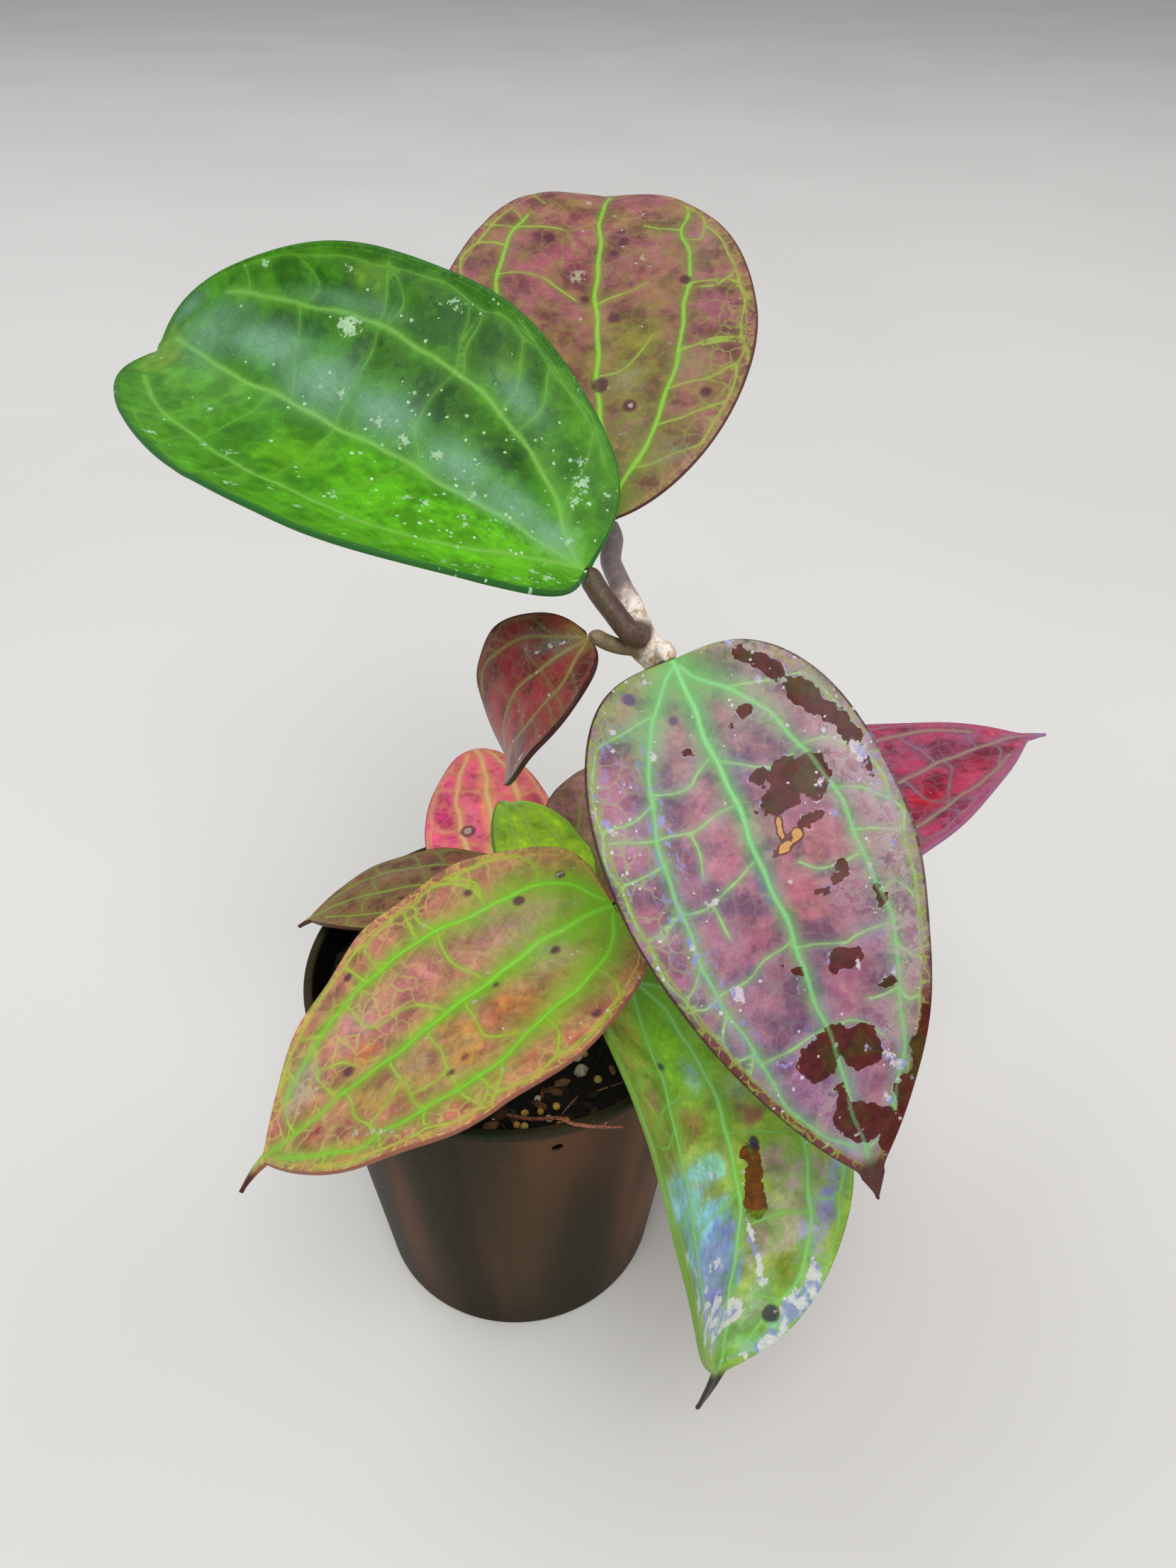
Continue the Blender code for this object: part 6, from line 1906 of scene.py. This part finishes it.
def with_holes(mesh):
    """The pot's mesh with its hanger and drain holes cut."""
    pot = bpy.data.objects.new("pot_body", mesh)
    bpy.context.scene.collection.objects.link(pot)
    cutters = bpy.data.collections.new("cutters")
    bpy.context.scene.collection.children.link(cutters)
    hanger = (POT_BODY_R, 0.0, HANGER_HOLE_Z)
    add_cutters(cutters, HANGER_HOLES, HANGER_HOLE_ANGLE, hanger, 90.0, HANGER_HOLE_R, 12.0)
    add_cutters(cutters, DRAIN_HOLES, 30.0, (DRAIN_RING_R, 0.0, 0.0), 0.0, DRAIN_HOLE_R, 8.0)
    boolean = pot.modifiers.new("holes", "BOOLEAN")
    boolean.operation = "DIFFERENCE"
    boolean.operand_type = "COLLECTION"
    boolean.collection = cutters
    bpy.context.view_layer.update()
    graph = bpy.context.evaluated_depsgraph_get()
    result = bpy.data.meshes.new_from_object(pot.evaluated_get(graph))
    for obj in [pot] + list(cutters.objects):
        bpy.data.objects.remove(obj)
    bpy.data.collections.remove(cutters)
    return result


def make_pot():
    mesh = with_holes(turned("pot_section", pot_section(), POT_SIDES))
    mesh.name = "pot_fine"
    mesh.shade_smooth()
    mesh.set_sharp_from_angle(angle=math.radians(38.0))
    add_piece("pot_fine", mesh, [pot_finish()], "pot")


def pot_finish():
    """Thin satin plastic, dark brown-green, with a greener rim; its soft upright brown bands and olive bands
    are painted reflections of the surroundings and of the leaves.
    """
    g = Graph("pot_plastic_finish")
    place = g.object_place()
    x, y, z = g.split(place)
    upright = g.stretched(place, (1.0, 1.0, 0.08))
    # Painted reflections of the brown surroundings, in soft upright bands
    band = g.noise(upright, 0.042, 1.0, 0.4)
    fine = g.noise(place, 1.5, 3.0, 0.6)
    colour = g.mix(g.ramp(band, 0.3, 0.72), linear(POT_DARK), linear(POT_REFLECTED_BROWN))
    # Painted reflections of the leaves, in olive bands
    olive = g.noise(g.moved(upright, (40.0, 9.0, 0.0)), 0.06, 1.0, 0.4)
    colour = g.lay(g.ramp(olive, 0.4, 0.62, 0.0, 0.7), colour, POT_REFLECTED_OLIVE)
    colour = g.lay(g.ramp(z, 40.0, 0.0, 0.0, 0.4), colour, POT_LOW)
    colour = g.lay(g.ramp(z, 103.4, 104.6, 0.0, 0.8), colour, POT_RIM)
    inward = g.add(z, -FLOOR - GAP)
    reach = g.math("SQRT", g.add(g.times(x, x), g.times(y, y)))
    wall_reach = g.add(g.times(inward, (POT_BODY_R - POT_FOOT_R) / POT_HEIGHT), POT_FOOT_R - 0.2 * WALL)
    inner = g.times(g.math("LESS_THAN", reach, wall_reach), g.math("GREATER_THAN", z, FLOOR - 0.1))
    inner = g.times(inner, g.math("LESS_THAN", z, POT_HEIGHT - 1.0))
    colour = g.lay(inner, colour, POT_INSIDE)
    dust = g.times(g.ramp(g.noise(place, 0.4, 5.0, 0.7), 0.58, 0.75), 0.18)
    colour = g.lay(dust, colour, POT_DUST)
    g.set(Base_Color=colour, Roughness=g.ramp(fine, 0.3, 0.7, 0.4, 0.5), Specular_IOR_Level=0.06)
    g.bump(g.add(g.times(fine, 0.2), g.noise(upright, 0.12, 2.0)), 0.0006, 0.25)
    return g.material


def make_strand():
    """The dry rootlet, with a short fork near its end and a little crust."""
    x, y = STRAND_FOOT
    route = [(x, y, soil_height(x, y) + GAP + STRAND_R + 0.2)] + STRAND_POINTS
    body = tube(route, [STRAND_R * 1.1, STRAND_R, STRAND_R, STRAND_R, STRAND_R * 0.8, 0.22], 0.5, 14)
    fork = tube(FORK_POINTS, [0.3, 0.22, 0.15], 0.4, 10)
    mesh = remeshed("root_strand_fine", *joined([body, fork]), STRAND_VOXEL)
    bumps = np.array([noise.noise(Vector(p) * 2.4) for p in mesh_points(mesh)])
    roughened(mesh, 0.1 * bumps)
    add_piece("root_strand_fine", mesh, [root_finish()], "root_strand")


def root_finish():
    g = Graph("dry_root_finish")
    fine = g.noise(g.object_place(), 1.5, 4.0, 0.6)
    colour = g.mix(g.ramp(fine, 0.35, 0.65), linear(ROOT_DARK), linear(ROOT_PALE))
    g.set(Base_Color=colour, Roughness=g.ramp(fine, 0.3, 0.7, 0.65, 0.85))
    g.bump(fine, 0.0002, 0.6)
    return g.material


def make_vines():
    x, y = TALL_STEM_FOOT
    route = [
        (26.4, 10.2, 205.8), (28.2, 5.0, 202.6), (29.9, 2.4, 199.2), (33.2, 2.8, 194.6),
        (36.8, 4.6, 187.5), (39.4, 5.6, 174.0), (40.2, 5.2, 159.0), (39.0, 3.8, 144.0),
        (35.0, 1.4, 127.0), (29.6, -1.4, 110.5), (x + 0.4, y, 101.0), (x, y, 94.0),
        (x, y, SOIL_TOP - STEM_BURIED),
    ]
    radii = [2.7, 3.1, 3.6, 3.1, 2.6, 2.4, 2.4, 3.0, 2.5, 2.9, STEM_R, STEM_R, STEM_R]
    bud = tube([(27.9, -1.2, 203.2), (27.3, -2.4, 203.9), (27.1, -3.0, 204.2)], [1.2, 1.2, 0.5], 0.4, 16)
    make_vine("vine_tall", route, radii, TALL_PETIOLES, TALL_BARK, [(bud, BUD_TONE)])
    x, y = SHORT_STEM_FOOT
    route = [(x + 0.2, y + 0.2, 106.0), (x, y, 101.0), (x, y, SOIL_TOP - STEM_BURIED)]
    make_vine("vine_short", route, [1.9, STEM_R, STEM_R], SHORT_PETIOLES, SHORT_BARK)


def make_floor():
    mesh = bpy.data.meshes.new("studio_floor")
    corners = [(x * FLOOR_HALF, y * FLOOR_HALF, 0.0) for x, y in ((-1, -1), (1, -1), (1, 1), (-1, 1))]
    mesh.from_pydata(corners, [], [(0, 1, 2, 3)])
    g = Graph("studio_floor_finish")
    place = g.node("ShaderNodeTexCoord").outputs["Object"]
    tone = g.noise(place, 3.0, 3.0, 0.5)
    colour = g.mix(g.ramp(tone, 0.3, 0.7), (0.75, 0.735, 0.71), (0.78, 0.765, 0.74))
    g.set(Base_Color=colour, Roughness=g.ramp(tone, 0.3, 0.7, 0.75, 0.85))
    mesh.materials.append(g.material)
    floor = bpy.data.objects.new("studio_floor", mesh)
    bpy.context.scene.collection.objects.link(floor)


def add_camera():
    down, yaw, roll = (math.radians(a) for a in (CAMERA_DOWN, CAMERA_YAW, CAMERA_ROLL))
    forward = Vector((math.sin(yaw) * math.cos(down), math.cos(yaw) * math.cos(down), -math.sin(down)))
    right = forward.cross(Vector((0, 0, 1))).normalized()
    up = right.cross(forward)
    rolled = right * math.cos(roll) + up * math.sin(roll)
    upright = rolled.cross(forward)
    data = bpy.data.cameras.new("camera")
    data.sensor_fit = "AUTO"
    data.sensor_width = SENSOR
    data.lens = SENSOR * FOCAL_PIXELS / PHOTO_HEIGHT
    data.clip_start = 0.01
    data.clip_end = 200.0
    camera = bpy.data.objects.new("camera", data)
    turn = Matrix((rolled, upright, -forward)).transposed().to_4x4()
    camera.matrix_world = Matrix.Translation(CAMERA_PLACE) @ turn
    bpy.context.scene.collection.objects.link(camera)
    bpy.context.scene.camera = camera


def add_light(name, azimuth, elevation, power, colour):
    """A soft square light that looks at the plant's middle."""
    a, e = math.radians(azimuth), math.radians(elevation)
    away = Vector((math.sin(a) * math.cos(e), math.cos(a) * math.cos(e), math.sin(e)))
    data = bpy.data.lights.new(name, "AREA")
    data.shape = "SQUARE"
    data.size = LIGHT_SIZE
    data.energy = power
    data.color = colour
    light = bpy.data.objects.new(name, data)
    light.location = Vector(LIGHT_TARGET) + away * LIGHT_DISTANCE
    light.rotation_euler = (-away).to_track_quat("-Z", "Y").to_euler()
    bpy.context.scene.collection.objects.link(light)


def add_lights():
    add_light("light_behind_camera", 178, 60, 54.0, (1.0, 0.985, 0.96))
    add_light("light_top_left", -55, 58, 24.0, (0.95, 0.98, 1.0))
    add_light("light_right", 70, 40, 10.0, (1.0, 0.97, 0.93))
    world = bpy.data.worlds.new("studio")
    world.use_nodes = True
    background = world.node_tree.nodes["Background"]
    background.inputs["Color"].default_value = (*WORLD_TONE, 1.0)
    background.inputs["Strength"].default_value = WORLD_STRENGTH
    bpy.context.scene.world = world
    bpy.context.scene.view_settings.view_transform = "Standard"


def main():
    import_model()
    add_camera()
    make_pot()
    make_soil()
    make_vines()
    make_strand()
    for node, leaf in LEAVES.items():
        make_leaf(node, leaf, LOOKS[node])
    make_floor()
    add_lights()
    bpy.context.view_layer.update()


main()
